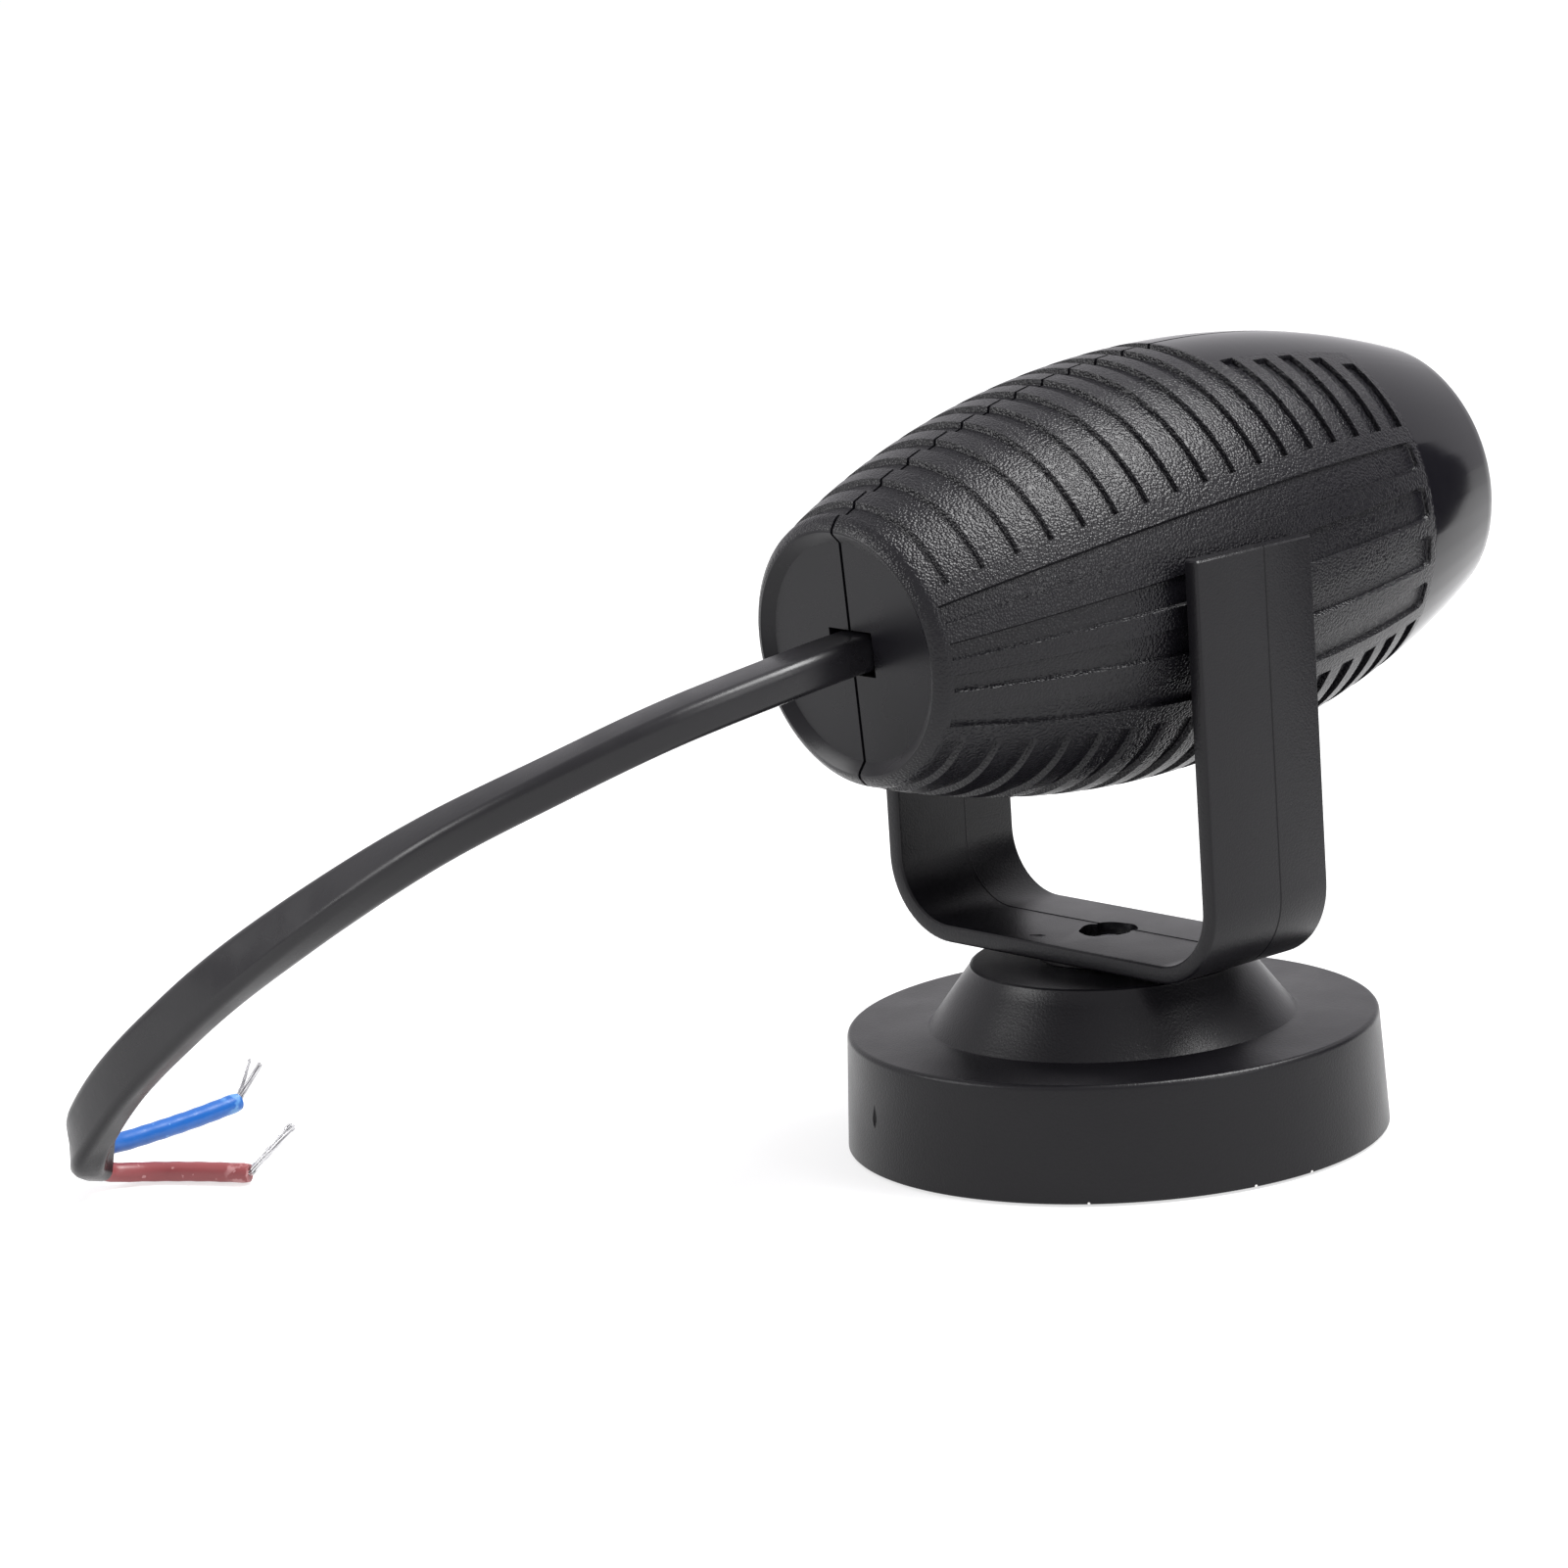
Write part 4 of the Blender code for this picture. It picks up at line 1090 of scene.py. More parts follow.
class Housing:
    """Both halves of the barrel, grooved and screwed together."""

    def __init__(self, size: BarrelSize, ribs: RibPattern) -> None:
        """Keeps the sizes and the pattern of the relief."""
        self.size = size
        self.ribs = ribs

    def section(self) -> List[Tuple[float, float, bool]]:
        """The wall's outline in a plane through the axis: place, radius and whether it carries the relief."""
        s = self.size
        disc_y = s.rear_y - s.disc_depth
        shoulder_y = s.rear_y - s.shoulder
        rear = [(disc_y, r) for r in (s.innermost, s.disc_step, s.disc_radius)]
        rear += [(s.rear_y - back, r) for back, r in s.rim]
        rear.append((shoulder_y, s.radius_at(shoulder_y) - s.soft_edge))
        places = self.ribs.stations() + list(s.plain_rows + s.nose_rows) + [s.nose_y + s.shoulder]
        side = [(y, s.radius_at(y)) for y in sorted(places, reverse=True)]
        tip = s.radius_at(s.nose_y)
        lens_front, lens_rear = s.lens_y
        holder_y, holder_radius = s.holder
        front = [(s.nose_y + back, tip - drop) for back, drop in s.lip]
        front += [(s.nose_y, s.lens_opening + s.lip_round), (s.nose_y + s.lip_round, s.lens_opening)]
        front += [(lens_front, s.lens_opening), (lens_front, s.lens_seat), (lens_rear, s.lens_seat)]
        front += [(lens_rear, holder_radius), (holder_y, holder_radius)]
        wall_rear = disc_y - s.rear_wall
        wall = [between(holder_y, wall_rear, i / 8) for i in range(9)]
        front += [(y, s.radius_at(y) - s.wall) for y in wall] + [(wall_rear, s.innermost)]
        return [(y, r, line is side) for line in (rear, side, front) for y, r in line]

    def angles(self, y: float, radius: float) -> List[float]:
        """Angles of the mesh's rows at a place.

        Args:
            y: place along the barrel.
            radius: its radius there.

        Returns:
            Degrees from the panel's middle, from straight down to straight up.
        """
        share = self.ribs.share(y)
        one_side = []
        for rear, front, offset in self.ribs.rows():
            across = math.degrees(offset / max(radius, LEAST_ROW_RADIUS))
            one_side.append(between(rear, front, share) + across)
        down, up = -90 - self.ribs.middle_deg, 90 - self.ribs.middle_deg
        low = [-a for a in reversed(one_side) if -a > down + END_CLEARANCE_DEG]
        high = [a for a in one_side if a < up - END_CLEARANCE_DEG]
        return [down] + low + high + [up]

    def half(self, side: int, name: str) -> Piece:
        """One half as a closed body in the lamp's own frame.

        Args:
            side: +1 for the left half, -1 for the right half.
            name: the piece's name.

        Returns:
            The piece.
        """
        outline = self.section()
        columns = []
        for y, radius, carved in outline:
            column = []
            for deg in self.angles(y, radius):
                r = radius - (self.ribs.depth_at(y, deg, radius) if carved else 0.0)
                e = math.radians(deg + self.ribs.middle_deg)
                column.append((side * self.size.across(r * math.cos(e)), y, r * math.sin(e)))
            columns.append(column)
        rings = [[column[row] for column in columns] for row in range(len(columns[0]))]
        return loft(name, rings)

    def sleeve(self, y: float, z: float) -> Piece:
        """The boss round one screw bore, from its seat to the middle of the wall.

        Args:
            y: the screw's place along the barrel.
            z: its height above the axis.

        Returns:
            The boss.
        """
        s = self.size
        seat = s.screw_seat_x
        under = seat - s.screw_seat_wall
        corners = ((s.screw_boss, None), (s.screw_boss, under), (s.screw_hole, under))
        corners += ((s.screw_hole, seat), (s.screw_bore, seat), (s.screw_bore, None))
        rings = []
        for c, sine in circle(32):
            ring = []
            for r, x in corners:
                py, pz = y + r * c, z + r * sine
                wall_x = math.sqrt((s.radius_at(py) - s.wall / 2) ** 2 - pz**2)
                ring.append((wall_x if x is None else x, py, pz))
            rings.append(ring)
        return loft("screw_sleeve", rings, loop=True)

    def tools(self, side: int) -> List[Piece]:
        """Cutters for the cable slot, the pivot bore and, in the left half, the screw bores.

        Args:
            side: +1 for the left half, -1 for the right half.

        Returns:
            Closed bodies in the lamp's own frame.
        """
        s = self.size
        wide, high = s.slot[0] / 2, s.slot[1] / 2
        slot_ends = (s.rear_y - s.slot_depth, s.rear_y + 0.002)
        made = [block("slot_tool", (-wide, slot_ends[0], -high), (wide, slot_ends[1], high))]
        bores = [("pin_tool", side * s.pin_floor_x, 0, 0, s.pin_bore)]
        if side > 0:
            bore = s.screw_bore - CUT_MARGIN
            bores += [("bore_tool", s.screw_seat_x, y, z, bore) for y, z in s.screw_places]
        for name, x, y, z, radius in bores:
            made.append(rod(name, (x, y, z), (side * s.outside_x, y, z), (radius, radius), 40))
        return made

    def build(self, finish: Material) -> Dict[str, Piece]:
        """Builds, cuts, dresses and places both halves.

        Args:
            finish: the housing's material.

        Returns:
            The pieces by name.
        """
        made = {}
        for side, name, node in ((1, "left_half", "housing_left"), (-1, "right_half", "housing_right")):
            piece = self.half(side, name)
            carve(piece, self.tools(side))
            if side > 0:
                merge(piece, [self.sleeve(y, z) for y, z in self.size.screw_places])
            piece.matrix_world = self.size.placed()
            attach(piece, "head")
            dress(piece, 32.0, finish, node)
            made[name] = piece
        return made


# ---- bracket ----


@dataclass(frozen=True)
class BracketSize:
    """Sizes of the U bracket."""

    width: float = 0.0510
    thickness: float = 0.0020
    depth: float = 0.0176
    corner: float = 0.0090
    top_z: float = 0.0680
    plate_z: float = 0.02105
    # the parting line: a fine groove on outer faces and a fine ridge on inner ones
    seam_y: float = -0.0014
    seam_half_width: float = 0.00013
    groove: float = 0.00010
    flash: float = 0.00007
    edge: float = 0.00045
    pin_radius: float = 0.0030
    pin_inner_x: float = 0.0191
    pivot_z: float = 0.0627
    seat_radius: float = 0.0080
    seat_z: float = 0.0204
    hole_radius: float = 0.00325
    ledge_radius: float = 0.0022
    # the hole's unevenness: height, count and start of each wave, and two nicks at the parting line
    hole_waves: Tuple[Point, ...] = ((0.00012, 3, 1.0), (0.00006, 7, 0.0))
    nicks: Corner = (math.pi + 0.3, 2 * math.pi - 0.35)
    nick_depth: float = 0.00045
    nick_width: float = 0.13
    end_shrink: float = 0.00015
    end_step: float = 0.0002
    # a burr beside the hole, from end to end
    burr: Tuple[Corner, Corner] = ((0.0037, 0.0059), (0.0053, 0.0068))
    burr_radii: Tuple[float, ...] = (0.00005, 0.00014, 0.0001, 0.00005)


class Bracket:
    """The moulded U bracket with its parting line, pivot pins and swivel hole."""

    def __init__(self, size: BracketSize) -> None:
        """Keeps the sizes."""
        self.size = size

    def path(self) -> List[Tuple[float, float, float, float]]:
        """The bracket's middle line from one leg's top to the other's: x, z and the outward direction."""
        s = self.size
        half = s.width / 2 - s.thickness / 2
        bend = s.corner - s.thickness / 2
        centre_x, centre_z = s.width / 2 - s.corner, s.plate_z + s.corner
        plate = s.plate_z + s.thickness / 2
        left = [(-half, between(s.top_z, centre_z, i / 10), -1.0, 0.0) for i in range(10)]
        for i in range(19):
            a = math.radians(180 + 5 * i)
            nx, nz = math.cos(a), math.sin(a)
            left.append((-centre_x + bend * nx, centre_z + bend * nz, nx, nz))
        left += [(-centre_x * (1 - i / 4), plate, 0.0, -1.0) for i in range(1, 4)]
        right = [(-x, z, -nx, nz) for x, z, nx, nz in reversed(left)]
        return left + [(0.0, plate, 0.0, -1.0)] + right

    def outline(self, shrink: float = 0.0) -> List[Corner]:
        """The section across the bar, with a fine groove outside and a fine flash line inside.

        Args:
            shrink: how much smaller than the full section it is all round.

        Returns:
            Distance out from the middle line and place in depth of each corner.
        """
        s = self.size
        b, t, e, w = s.depth / 2 - shrink, s.thickness / 2 - shrink, s.edge, s.seam_half_width
        rounding = ((e, 0.0), (e * 0.55, e * 0.12), (e * 0.12, e * 0.55), (0.0, e))
        faces = []
        for rise in (-s.groove, s.flash):
            face = [(t - u, b - v) for u, v in rounding]
            face += [(t, s.seam_y + w), (t + rise, s.seam_y + w * 0.3), (t + rise, s.seam_y - w * 0.3)]
            faces.append(face + [(t, s.seam_y - w)] + [(t - u, v - b) for u, v in reversed(rounding)])
        outer, inner = faces
        return outer + [(-u, y) for u, y in reversed(inner)]

    def bar(self) -> Piece:
        """The bent bar, with softened leg ends."""
        s = self.size
        path = self.path()
        full = [self.ring_at(stop) for stop in path]
        ends = [self.ring_at(stop, s.end_shrink) for stop in (path[0], path[-1])]
        steps = [[(x, y, z - s.end_step) for x, y, z in ring] for ring in (full[0], full[-1])]
        return loft("bracket_bar", [ends[0], steps[0]] + full[1:-1] + [steps[1], ends[1]])

    def ring_at(self, stop: Tuple[float, float, float, float], shrink: float = 0.0) -> Ring:
        """The bar's section at one place of the path."""
        x, z, nx, nz = stop
        return [(x + nx * u, y, z + nz * u) for u, y in self.outline(shrink)]

    def hole_tools(self) -> List[Piece]:
        """Cutters for the uneven hole in the plate and the ledge inside it."""
        s = self.size
        rings = [[], []]
        for i in range(72):
            a = 2 * math.pi * i / 72
            r = s.hole_radius + sum(high * math.cos(count * a + start) for high, count, start in s.hole_waves)
            r -= sum(s.nick_depth * math.exp(-(((a - nick) / s.nick_width) ** 2)) for nick in s.nicks)
            for ring, z in zip(rings, (s.plate_z + 0.0010, s.plate_z + 0.0030)):
                ring.append((r * math.cos(a), r * math.sin(a), z))
        ends = [(0, 0, s.plate_z + off) for off in (-0.0010, 0.0012)]
        return [loft("hole_tool", rings), rod("ledge_tool", *ends, (s.ledge_radius,) * 2, 40)]

    def extras(self) -> List[Piece]:
        """The swivel seat, the two pivot pins and a burr beside the hole."""
        s = self.size
        soft, top = 0.0002, s.plate_z + 0.0003
        seat = [(s.seat_z, s.ledge_radius), (s.seat_z, s.seat_radius - soft)]
        seat += [(s.seat_z + soft, s.seat_radius), (top, s.seat_radius), (top, s.ledge_radius)]
        made = [revolve("seat", seat, 64)]
        reach = s.width / 2 - s.thickness / 2
        radii = (s.pin_radius, s.pin_radius, s.pin_radius, s.pin_radius - soft)
        for side in (-1, 1):
            start, end = [(side * x, 0, s.pivot_z) for x in (reach, s.pin_inner_x)]
            made.append(rod("pin", start, end, radii, 40))
        burr_z = s.plate_z + s.thickness
        start, end = (*s.burr[0], burr_z - CUT_MARGIN), (*s.burr[1], burr_z)
        return made + [rod("burr", start, end, s.burr_radii, 10)]

    def build(self, finish: Material) -> Piece:
        """Builds, dresses and places the bracket.

        Args:
            finish: the bracket's material.

        Returns:
            The piece.
        """
        piece = self.bar()
        carve(piece, self.hole_tools())
        merge(piece, self.extras())
        piece.name = "bracket_frame"
        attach(piece, "bracket")
        dress(piece, 25.0, finish, "bracket")
        return piece


# ---- base ----


@dataclass(frozen=True)
class BaseSize:
    """Sizes of the round base and its cone."""

    radius: float = 0.0300
    top_radius: float = 0.0294
    height: float = 0.0132
    edge: float = 0.0006
    wall: float = 0.0020
    cone_foot: float = 0.0203
    cone_top: float = 0.0155
    cone_z: float = 0.0201
    bore: float = 0.0022
    low_z: float = 0.0003
    soft: float = 0.0001
    dimple_deg: float = 73.2
    # the dimple: its top and foot, how far its middle is inside the wall, and its radii downwards
    dimple_z: Corner = (0.0087, 0.0054)
    dimple_bite: float = 0.00022
    dimple_radii: Tuple[float, ...] = (
        0.00002, 0.00012, 0.00020, 0.00028, 0.00040, 0.00048, 0.00046, 0.00032, 0.00003,
    )


class Base:
    """The hollow round base, with the small moulding dimple in its side."""

    def __init__(self, size: BaseSize) -> None:
        """Keeps the sizes."""
        self.size = size

    def outline(self) -> List[Corner]:
        """Closed outline of the shell: height and radius."""
        s = self.size
        side_top, foot_z, neck_z = s.height - s.edge, s.height + s.soft, s.cone_z - 4 * s.soft
        outside = [(s.low_z, s.radius - s.soft), (s.low_z + s.soft, s.radius)]
        for i in range(1, 8):
            outside.append((between(s.low_z, side_top, i / 8), between(s.radius, s.top_radius, i / 8)))
        for i in range(7):
            a = math.radians(15 * i)
            outside.append((side_top + s.edge * math.sin(a), s.top_radius - s.edge + s.edge * math.cos(a)))
        outside += [(s.height, s.cone_foot + 4 * s.soft), (foot_z, s.cone_foot + s.soft)]
        for i in range(1, 5):
            outside.append((between(foot_z, neck_z, i / 5), between(s.cone_foot, s.cone_top, i / 5)))
        outside += [(neck_z, s.cone_top), (s.cone_z - 1.5 * s.soft, s.cone_top - s.soft)]
        outside += [(s.cone_z, s.cone_top - 4 * s.soft), (s.cone_z, s.cone_top * 0.6), (s.cone_z, s.bore)]
        ceiling = s.height - s.wall
        hollow = [(s.cone_z - s.wall, s.bore), (s.cone_z - s.wall, s.cone_top - s.wall)]
        hollow += [(ceiling, s.cone_foot - s.wall)] + [(z, s.radius - s.wall) for z in (ceiling, s.low_z)]
        return outside + hollow

    def dimple_tool(self) -> Piece:
        """A teardrop that only just bites into the side wall."""
        s = self.size
        a = math.radians(s.dimple_deg)
        out = s.radius - s.dimple_bite
        top, low = [(out * math.cos(a), out * math.sin(a), z) for z in s.dimple_z]
        return rod("dimple_tool", top, low, s.dimple_radii, 24)

    def build(self, finish: Material) -> Piece:
        """Builds, dresses and places the base shell.

        Args:
            finish: the base's material.

        Returns:
            The piece.
        """
        piece = revolve("base_body", self.outline(), 180)
        carve(piece, [self.dimple_tool()])
        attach(piece, "base")
        dress(piece, 24.0, finish, "base_shell")
        return piece


# ---- cable ----


@dataclass(frozen=True)
class CableSize:
    """Sizes and route of the flat two-core cable and its bare ends."""

    width: float = 0.0060
    height: float = 0.0040
    corner: float = 0.0012
    step: float = 0.0009
    core_radius: float = 0.0011
    core_step: float = 0.0007
    core_sides: int = 28
    core_wave: float = 0.02
    core_wave_turn: float = 1.7
    cut_share: float = 0.93
    strand_radius: float = 0.00011
    strand_step: float = 0.0005
    strands: int = 16
    first_tuft: int = 10
    # strands: two rings of them, twisted a little, parting into two tufts past a share of their length
    bundle_radii: Corner = (0.00016, 0.00034)
    bundle_twist: float = 0.9
    bundle_start: float = 0.4
    buried: float = 0.0010
    tuft_way: Point = (-0.656, -0.755, 0.0)
    parts_from: float = 0.15
    uneven_tips: float = 0.025
    # the cable turns from level to upright over this share of its length
    turn_from: float = 0.30
    turn_over: float = 0.62
    exit: Point = (0.0, 0.0351, 0.0604)
    route: Tuple[Point, ...] = (
        (0.0000, 0.0240, 0.0611), (0.0000, 0.0351, 0.0604), (0.0004, 0.0455, 0.0592),
        (0.0036, 0.0585, 0.0564), (0.0100, 0.0688, 0.0519), (0.0200, 0.0768, 0.0460),
        (0.0320, 0.0818, 0.0386), (0.0460, 0.0854, 0.0296), (0.0565, 0.0872, 0.0220),
        (0.0645, 0.0881, 0.0156), (0.0712, 0.0878, 0.0094), (0.0742, 0.0866, 0.0060),
        (0.0758, 0.0843, 0.0045),
    )
    blue_route: Tuple[Point, ...] = (
        (0.0758, 0.0844, 0.0058), (0.0764, 0.0834, 0.0054), (0.0773, 0.0805, 0.0047),
        (0.0779, 0.0750, 0.0046), (0.0785, 0.0686, 0.0047), (0.0791, 0.0623, 0.0050),
    )
    red_route: Tuple[Point, ...] = (
        (0.0752, 0.0851, 0.0034), (0.0758, 0.0843, 0.0029), (0.0764, 0.0820, 0.0018),
        (0.0742, 0.0780, 0.0013), (0.0697, 0.0748, 0.0013), (0.0646, 0.0719, 0.0013),
    )
    blue_tip: Point = (0.0790, 0.0594, 0.0092)
    red_tip: Point = (0.0609, 0.0681, 0.0066)
    blue_part: float = 0.0006
    red_part: float = 0.0001


class Cable:
    """The flat cable, its two cores and their bare strands."""

    def __init__(self, size: CableSize) -> None:
        """Keeps the sizes and lays out the middle line."""
        self.size = size
        self.line = smooth_route(size.route, size.step)

    def section(self) -> List[Corner]:
        """The cable's section: a rounded rectangle, across its width and its height."""
        s = self.size
        w, h = s.width / 2 - s.corner, s.height / 2 - s.corner
        points = []
        for cx, cy, start in ((w, h, 0), (-w, h, 90), (-w, -h, 180), (w, -h, 270)):
            for i in range(6):
                a = math.radians(start + 18 * i)
                points.append((cx + s.corner * math.cos(a), cy + s.corner * math.sin(a)))
        return points

    def width_ways(self) -> List[Vector]:
        """The direction of the cable's width along its route: level at the head, upright at its end."""
        s = self.size
        ways = []
        level = Vector((1, 0, 0))
        heads = directions(self.line)
        for i, along in enumerate(heads):
            turn = smooth_step((i / (len(heads) - 1) - s.turn_from) / s.turn_over)
            level = (level - along * level.dot(along)).normalized()
            upright = (Vector((0, 0, 1)) - along * along.z).normalized()
            way = level.lerp(upright, turn)
            ways.append((way - along * way.dot(along)).normalized())
        return ways

    def jacket(self) -> Piece:
        """The black jacket as a twisting tube."""
        rings = []
        for middle, along, way in zip(self.line, directions(self.line), self.width_ways()):
            flat = along.cross(way)
            rings.append([tuple(middle + way * u + flat * v) for u, v in self.section()])
        return loft("flat_cable", rings)

    def core(self, name: str, route: Sequence[Point]) -> Piece:
        """One core's insulation, with a softened cut end.

        Args:
            name: the piece's name.
            route: places along its middle line, from inside the jacket to the cut end.

        Returns:
            The piece.
        """
        s = self.size
        line = smooth_route(route, s.core_step)
        ways = directions(line)
        side = Vector((0, 0, 1)) - ways[0] * ways[0].z
        rings = []
        for i, (middle, along) in enumerate(zip(line, ways)):
            side = (side - along * side.dot(along)).normalized()
            r = s.core_radius * (1 + s.core_wave * math.sin(i * s.core_wave_turn))
            if i == len(line) - 1:
                r *= s.cut_share
            rings.append(ring_round(middle, side, along.cross(side), r, s.core_sides))
        return loft(name, rings)

    def strands(self, name: str, route: Sequence[Point], tip: Point, part: float) -> Piece:
        """The bare tinned strands: a slightly twisted bundle that parts into two tufts at its tip.

        Args:
            name: the piece's name.
            route: places along the core that they come out of.
            tip: where they end.
            part: how far the tufts move off to their sides.

        Returns:
            The piece.
        """
        s = self.size
        foot = Vector(route[-1])
        into = (Vector(route[-2]) - foot).normalized() * s.buried
        reach = (Vector(tip) - foot).length
        along = (Vector(tip) - foot).normalized()
        across = along.orthogonal().normalized()
        other = along.cross(across)
        sideways = Vector(s.tuft_way)
        sideways = (sideways - along * sideways.dot(along)).normalized()
        pieces = []
        for k in range(s.strands):
            turn = 2 * math.pi * k / s.strands + s.bundle_start
            length = 1.0 - s.uneven_tips * ((k * 5) % 4)
            tuft = part if k < s.first_tuft else -part
            points = [tuple(foot + into)]
            for i in range(7):
                share = i / 6 * length
                twist = turn + s.bundle_twist * share
                round_at = (across * math.cos(twist) + other * math.sin(twist)) * s.bundle_radii[k % 2]
                apart = sideways * (tuft * max(0.0, share - s.parts_from))
                points.append(tuple(foot + along * (reach * share) + round_at + apart))
            line = smooth_route(points, s.strand_step)
            rings = []
            for middle, way in zip(line, directions(line)):
                side = way.orthogonal().normalized()
                rings.append(ring_round(middle, side, way.cross(side), s.strand_radius, 6))
            pieces.append(loft("strand", rings))
        merge(pieces[0], pieces[1:])
        pieces[0].name = name
        return pieces[0]

    def length(self) -> float:
        """Length of the cable along its middle line."""
        return sum((b - a).length for a, b in zip(self.line, self.line[1:]))

    def ends(self, cores: Dict[str, Material], tin: Material) -> List[Piece]:
        """Builds, dresses and places both cores and their strands.

        Args:
            cores: materials of the blue and red cores.
            tin: the strands' material.

        Returns:
            The pieces.
        """
        s = self.size
        sizes = (("blue", s.blue_route, s.blue_tip, s.blue_part), ("red", s.red_route, s.red_tip, s.red_part))
        pieces = []
        for colour, route, tip, part in sizes:
            core = self.core(f"core_{colour}", route)
            dress(core, 40.0, cores[colour], f"lead_{colour}")
            wires = self.strands(f"wires_{colour}", route, tip, part)
            dress(wires, 60.0, tin, f"strands_{colour}")
            for piece in (core, wires):
                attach(piece, "bracket")
                pieces.append(piece)
        return pieces

    def build(self, jacket: Material, cores: Dict[str, Material], tin: Material) -> List[Piece]:
        """Builds, dresses and places the cable with its ends.

        Args:
            jacket: the jacket's material.
            cores: materials of the blue and red cores.
            tin: the strands' material.

        Returns:
            The pieces, the cable first.
        """
        cable = self.jacket()
        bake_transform(cable)
        dress(cable, 40.0, jacket, "power_cable")
        pieces = self.ends(cores, tin)
        return [cable] + pieces


# ---- pieces that keep their CAD shape ----


class CarriedParts:
    """CAD nodes that are shown as they are, with their finishes."""

    def __init__(self, finishes: Dict[str, Tuple[str, ...]]) -> None:
        """Keeps the names of the nodes for each finish."""
        self.finishes = finishes

    def dress(self, nodes: Dict[str, Piece], palette: Dict[str, Material]) -> int:
        """Gives every listed node its material.

        Args:
            nodes: CAD nodes by name.
            palette: materials by name.

        Returns:
            How many nodes were dressed.
        """
        done = 0
        for finish, names in self.finishes.items():
            for name in names:
                mesh = nodes[name].data
                mesh.materials.clear()
                mesh.materials.append(palette[finish])
                done += 1
        return done


NODE_FINISHES: Dict[str, Tuple[str, ...]] = {
    "base_black": ("base_shell", "base_cover"),
    "ballast": ("base_weight",),
    "foam": ("foot_pad",),
    "zinc": (
        "cover_screw_1", "cover_screw_2", "cover_screw_3", "swivel_screw", "swivel_washer",
        "housing_screw_1", "housing_screw_2", "housing_screw_3", "housing_screw_4", "clamp_screw_1",
        "clamp_screw_2",
    ),
    "bracket_black": ("bracket",),
    "housing_black": ("housing_left", "housing_right"),
    "acrylic": ("front_lens", "collimator_lens"),
    "seal": ("lens_seal",),
    "inner_black": ("lens_holder",),
    "board_white": ("led_board",),
    "phosphor": ("led_emitter",),
    "thermal_grey": ("thermal_pad",),
    "aluminium": ("heat_sink",),
    "wire_black": ("led_wire_black",),
    "wire_red": ("led_wire_red", "inner_lead_red"),
    "wire_blue": ("inner_lead_blue",),
    "board_green": ("driver_board",),
    "ferrite": ("transformer_core",),
    "tape": ("transformer_coil",),
    "sleeve": ("input_capacitor", "output_capacitor"),
    "epoxy": ("bridge_rectifier", "driver_chip"),
    "nylon": ("cable_clamp",),
    "jacket": ("power_cable",),
    "core_blue": ("lead_blue",),
    "core_red": ("lead_red",),
    "tin": ("strands_blue", "strands_red"),
}

BLUE = (0.004, 0.092, 0.360)
RED = (0.228, 0.048, 0.052)

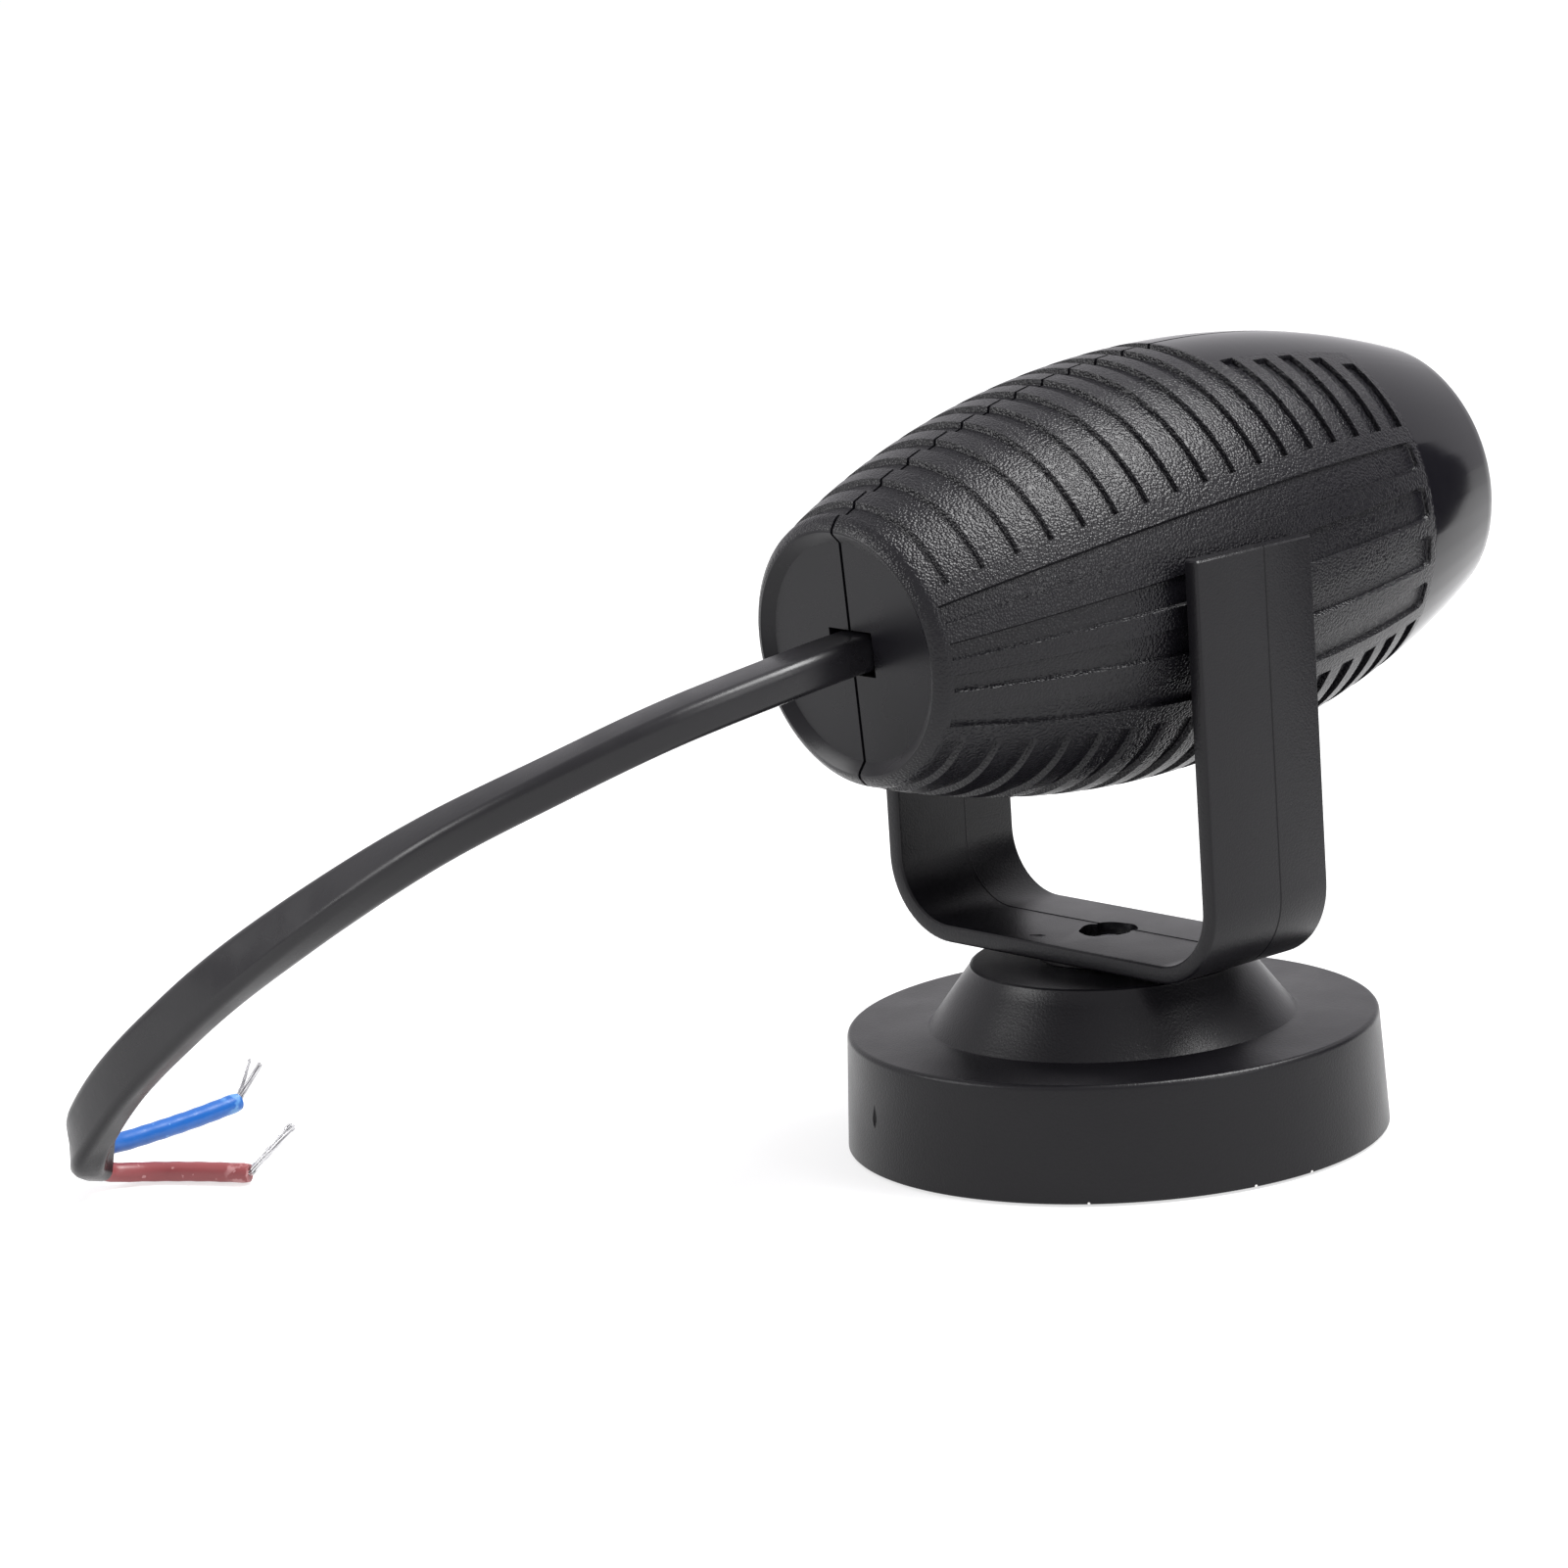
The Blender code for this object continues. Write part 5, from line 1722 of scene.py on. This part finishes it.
FINISHES: Tuple[Finish, ...] = (
    HousingFinish(
        "housing_black", (0.0048, 0.0045, 0.0060), 0.28, specular=0.27,
        grain=Grain(0.00030, 0.000048, GrainKind.PEBBLE, 0.015),
    ),
    Finish(
        "bracket_black", (0.0050, 0.0047, 0.0060), 0.31, specular=0.26,
        grain=Grain(0.00024, 0.000035, sheen_change=0.02),
    ),
    ChippedFinish(
        "base_black", (0.0045, 0.0042, 0.0054), 0.33, specular=0.25,
        grain=Grain(0.00026, 0.000030, sheen_change=0.02),
        chips=((-0.0289, 0.0080, 0.0004), (-0.02995, 0.0005, 0.0004), (-0.0189, 0.0232, 0.0004)),
    ),
    Finish("ballast", (0.5, 0.5, 0.51), 0.35, metallic=1.0, grain=Grain(0.0004, 0.00001)),
    Finish("foam", (0.03, 0.03, 0.03), 0.9, grain=Grain(0.0003, 0.00005)),
    Finish("zinc", (0.62, 0.62, 0.64), 0.28, metallic=1.0, grain=Grain(0.0003, 0.000004)),
    Finish("acrylic", (0.95, 0.97, 0.98), 0.04, ior=1.49, transmission=0.95, mottle=0.0),
    Finish("seal", (0.04, 0.04, 0.04), 0.6),
    Finish("inner_black", (0.02, 0.02, 0.02), 0.6),
    Finish("board_white", (0.8, 0.8, 0.78), 0.3, grain=Grain(0.0005, 0.000004)),
    Finish("phosphor", (0.9, 0.74, 0.16), 0.35, coat=0.5),
    Finish("thermal_grey", (0.4, 0.45, 0.52), 0.8),
    Finish("aluminium", (0.75, 0.76, 0.77), 0.35, metallic=1.0, grain=Grain(0.0004, 0.00001)),
    Finish("wire_black", (0.015, 0.015, 0.015), 0.35),
    Finish("wire_red", (0.5, 0.02, 0.02), 0.35),
    Finish("wire_blue", (0.02, 0.1, 0.5), 0.35),
    Finish("board_green", (0.015, 0.16, 0.06), 0.3, coat=0.3),
    Finish("ferrite", (0.05, 0.05, 0.055), 0.7, grain=Grain(0.0003, 0.00001)),
    Finish("tape", (0.75, 0.55, 0.07), 0.3),
    Finish("sleeve", (0.015, 0.015, 0.025), 0.25),
    Finish("epoxy", (0.02, 0.02, 0.02), 0.5),
    Finish("nylon", (0.75, 0.74, 0.7), 0.45),
    Finish(
        "jacket", (0.0075, 0.0071, 0.0085), 0.31, specular=0.34,
        grain=Grain(0.0006, 0.00001, sheen_change=0.07),
    ),
    CoreFinish(
        "core_blue", BLUE, 0.36, grain=Grain(0.0007, 0.00002), cut_end=(0.0791, 0.0623, 0.0054),
        scuff_colour=(0.16, 0.36, 0.62),
    ),
    CoreFinish(
        "core_red", RED, 0.42, grain=Grain(0.0007, 0.00002), cut_end=(0.0646, 0.0719, 0.0018),
        scuff_colour=(0.55, 0.30, 0.30),
    ),
    Finish("tin", (0.72, 0.72, 0.73), 0.22, metallic=1.0, grain=Grain(0.0003, 0.000006)),
)


def main() -> None:
    """Builds the camera and cable first, then every other sub-assembly."""
    logging.basicConfig(level=logging.INFO, format="%(name)s: %(message)s")
    Viewpoint().build()
    palette = {finish.name: finish.material() for finish in FINISHES}
    LOG.info("%d finishes", len(palette))

    cable = Cable(CableSize())
    cores = {colour: palette[f"core_{colour}"] for colour in ("blue", "red")}
    made = cable.build(palette["jacket"], cores, palette["tin"])
    LOG.info("cable of %.1f mm with %d pieces on it", cable.length() * 1000, len(made) - 1)

    halves = Housing(BarrelSize(), RibPattern()).build(palette["housing_black"])
    LOG.info("housing halves: %s", ", ".join(f"{n} {len(o.data.polygons)} faces" for n, o in halves.items()))
    Bracket(BracketSize()).build(palette["bracket_black"])
    Base(BaseSize()).build(palette["base_black"])
    dressed = CarriedParts(NODE_FINISHES).dress(frame["nodes"], palette)
    LOG.info("%d CAD nodes dressed", dressed)

    Studio().build()


if __name__ == "__main__":
    main()
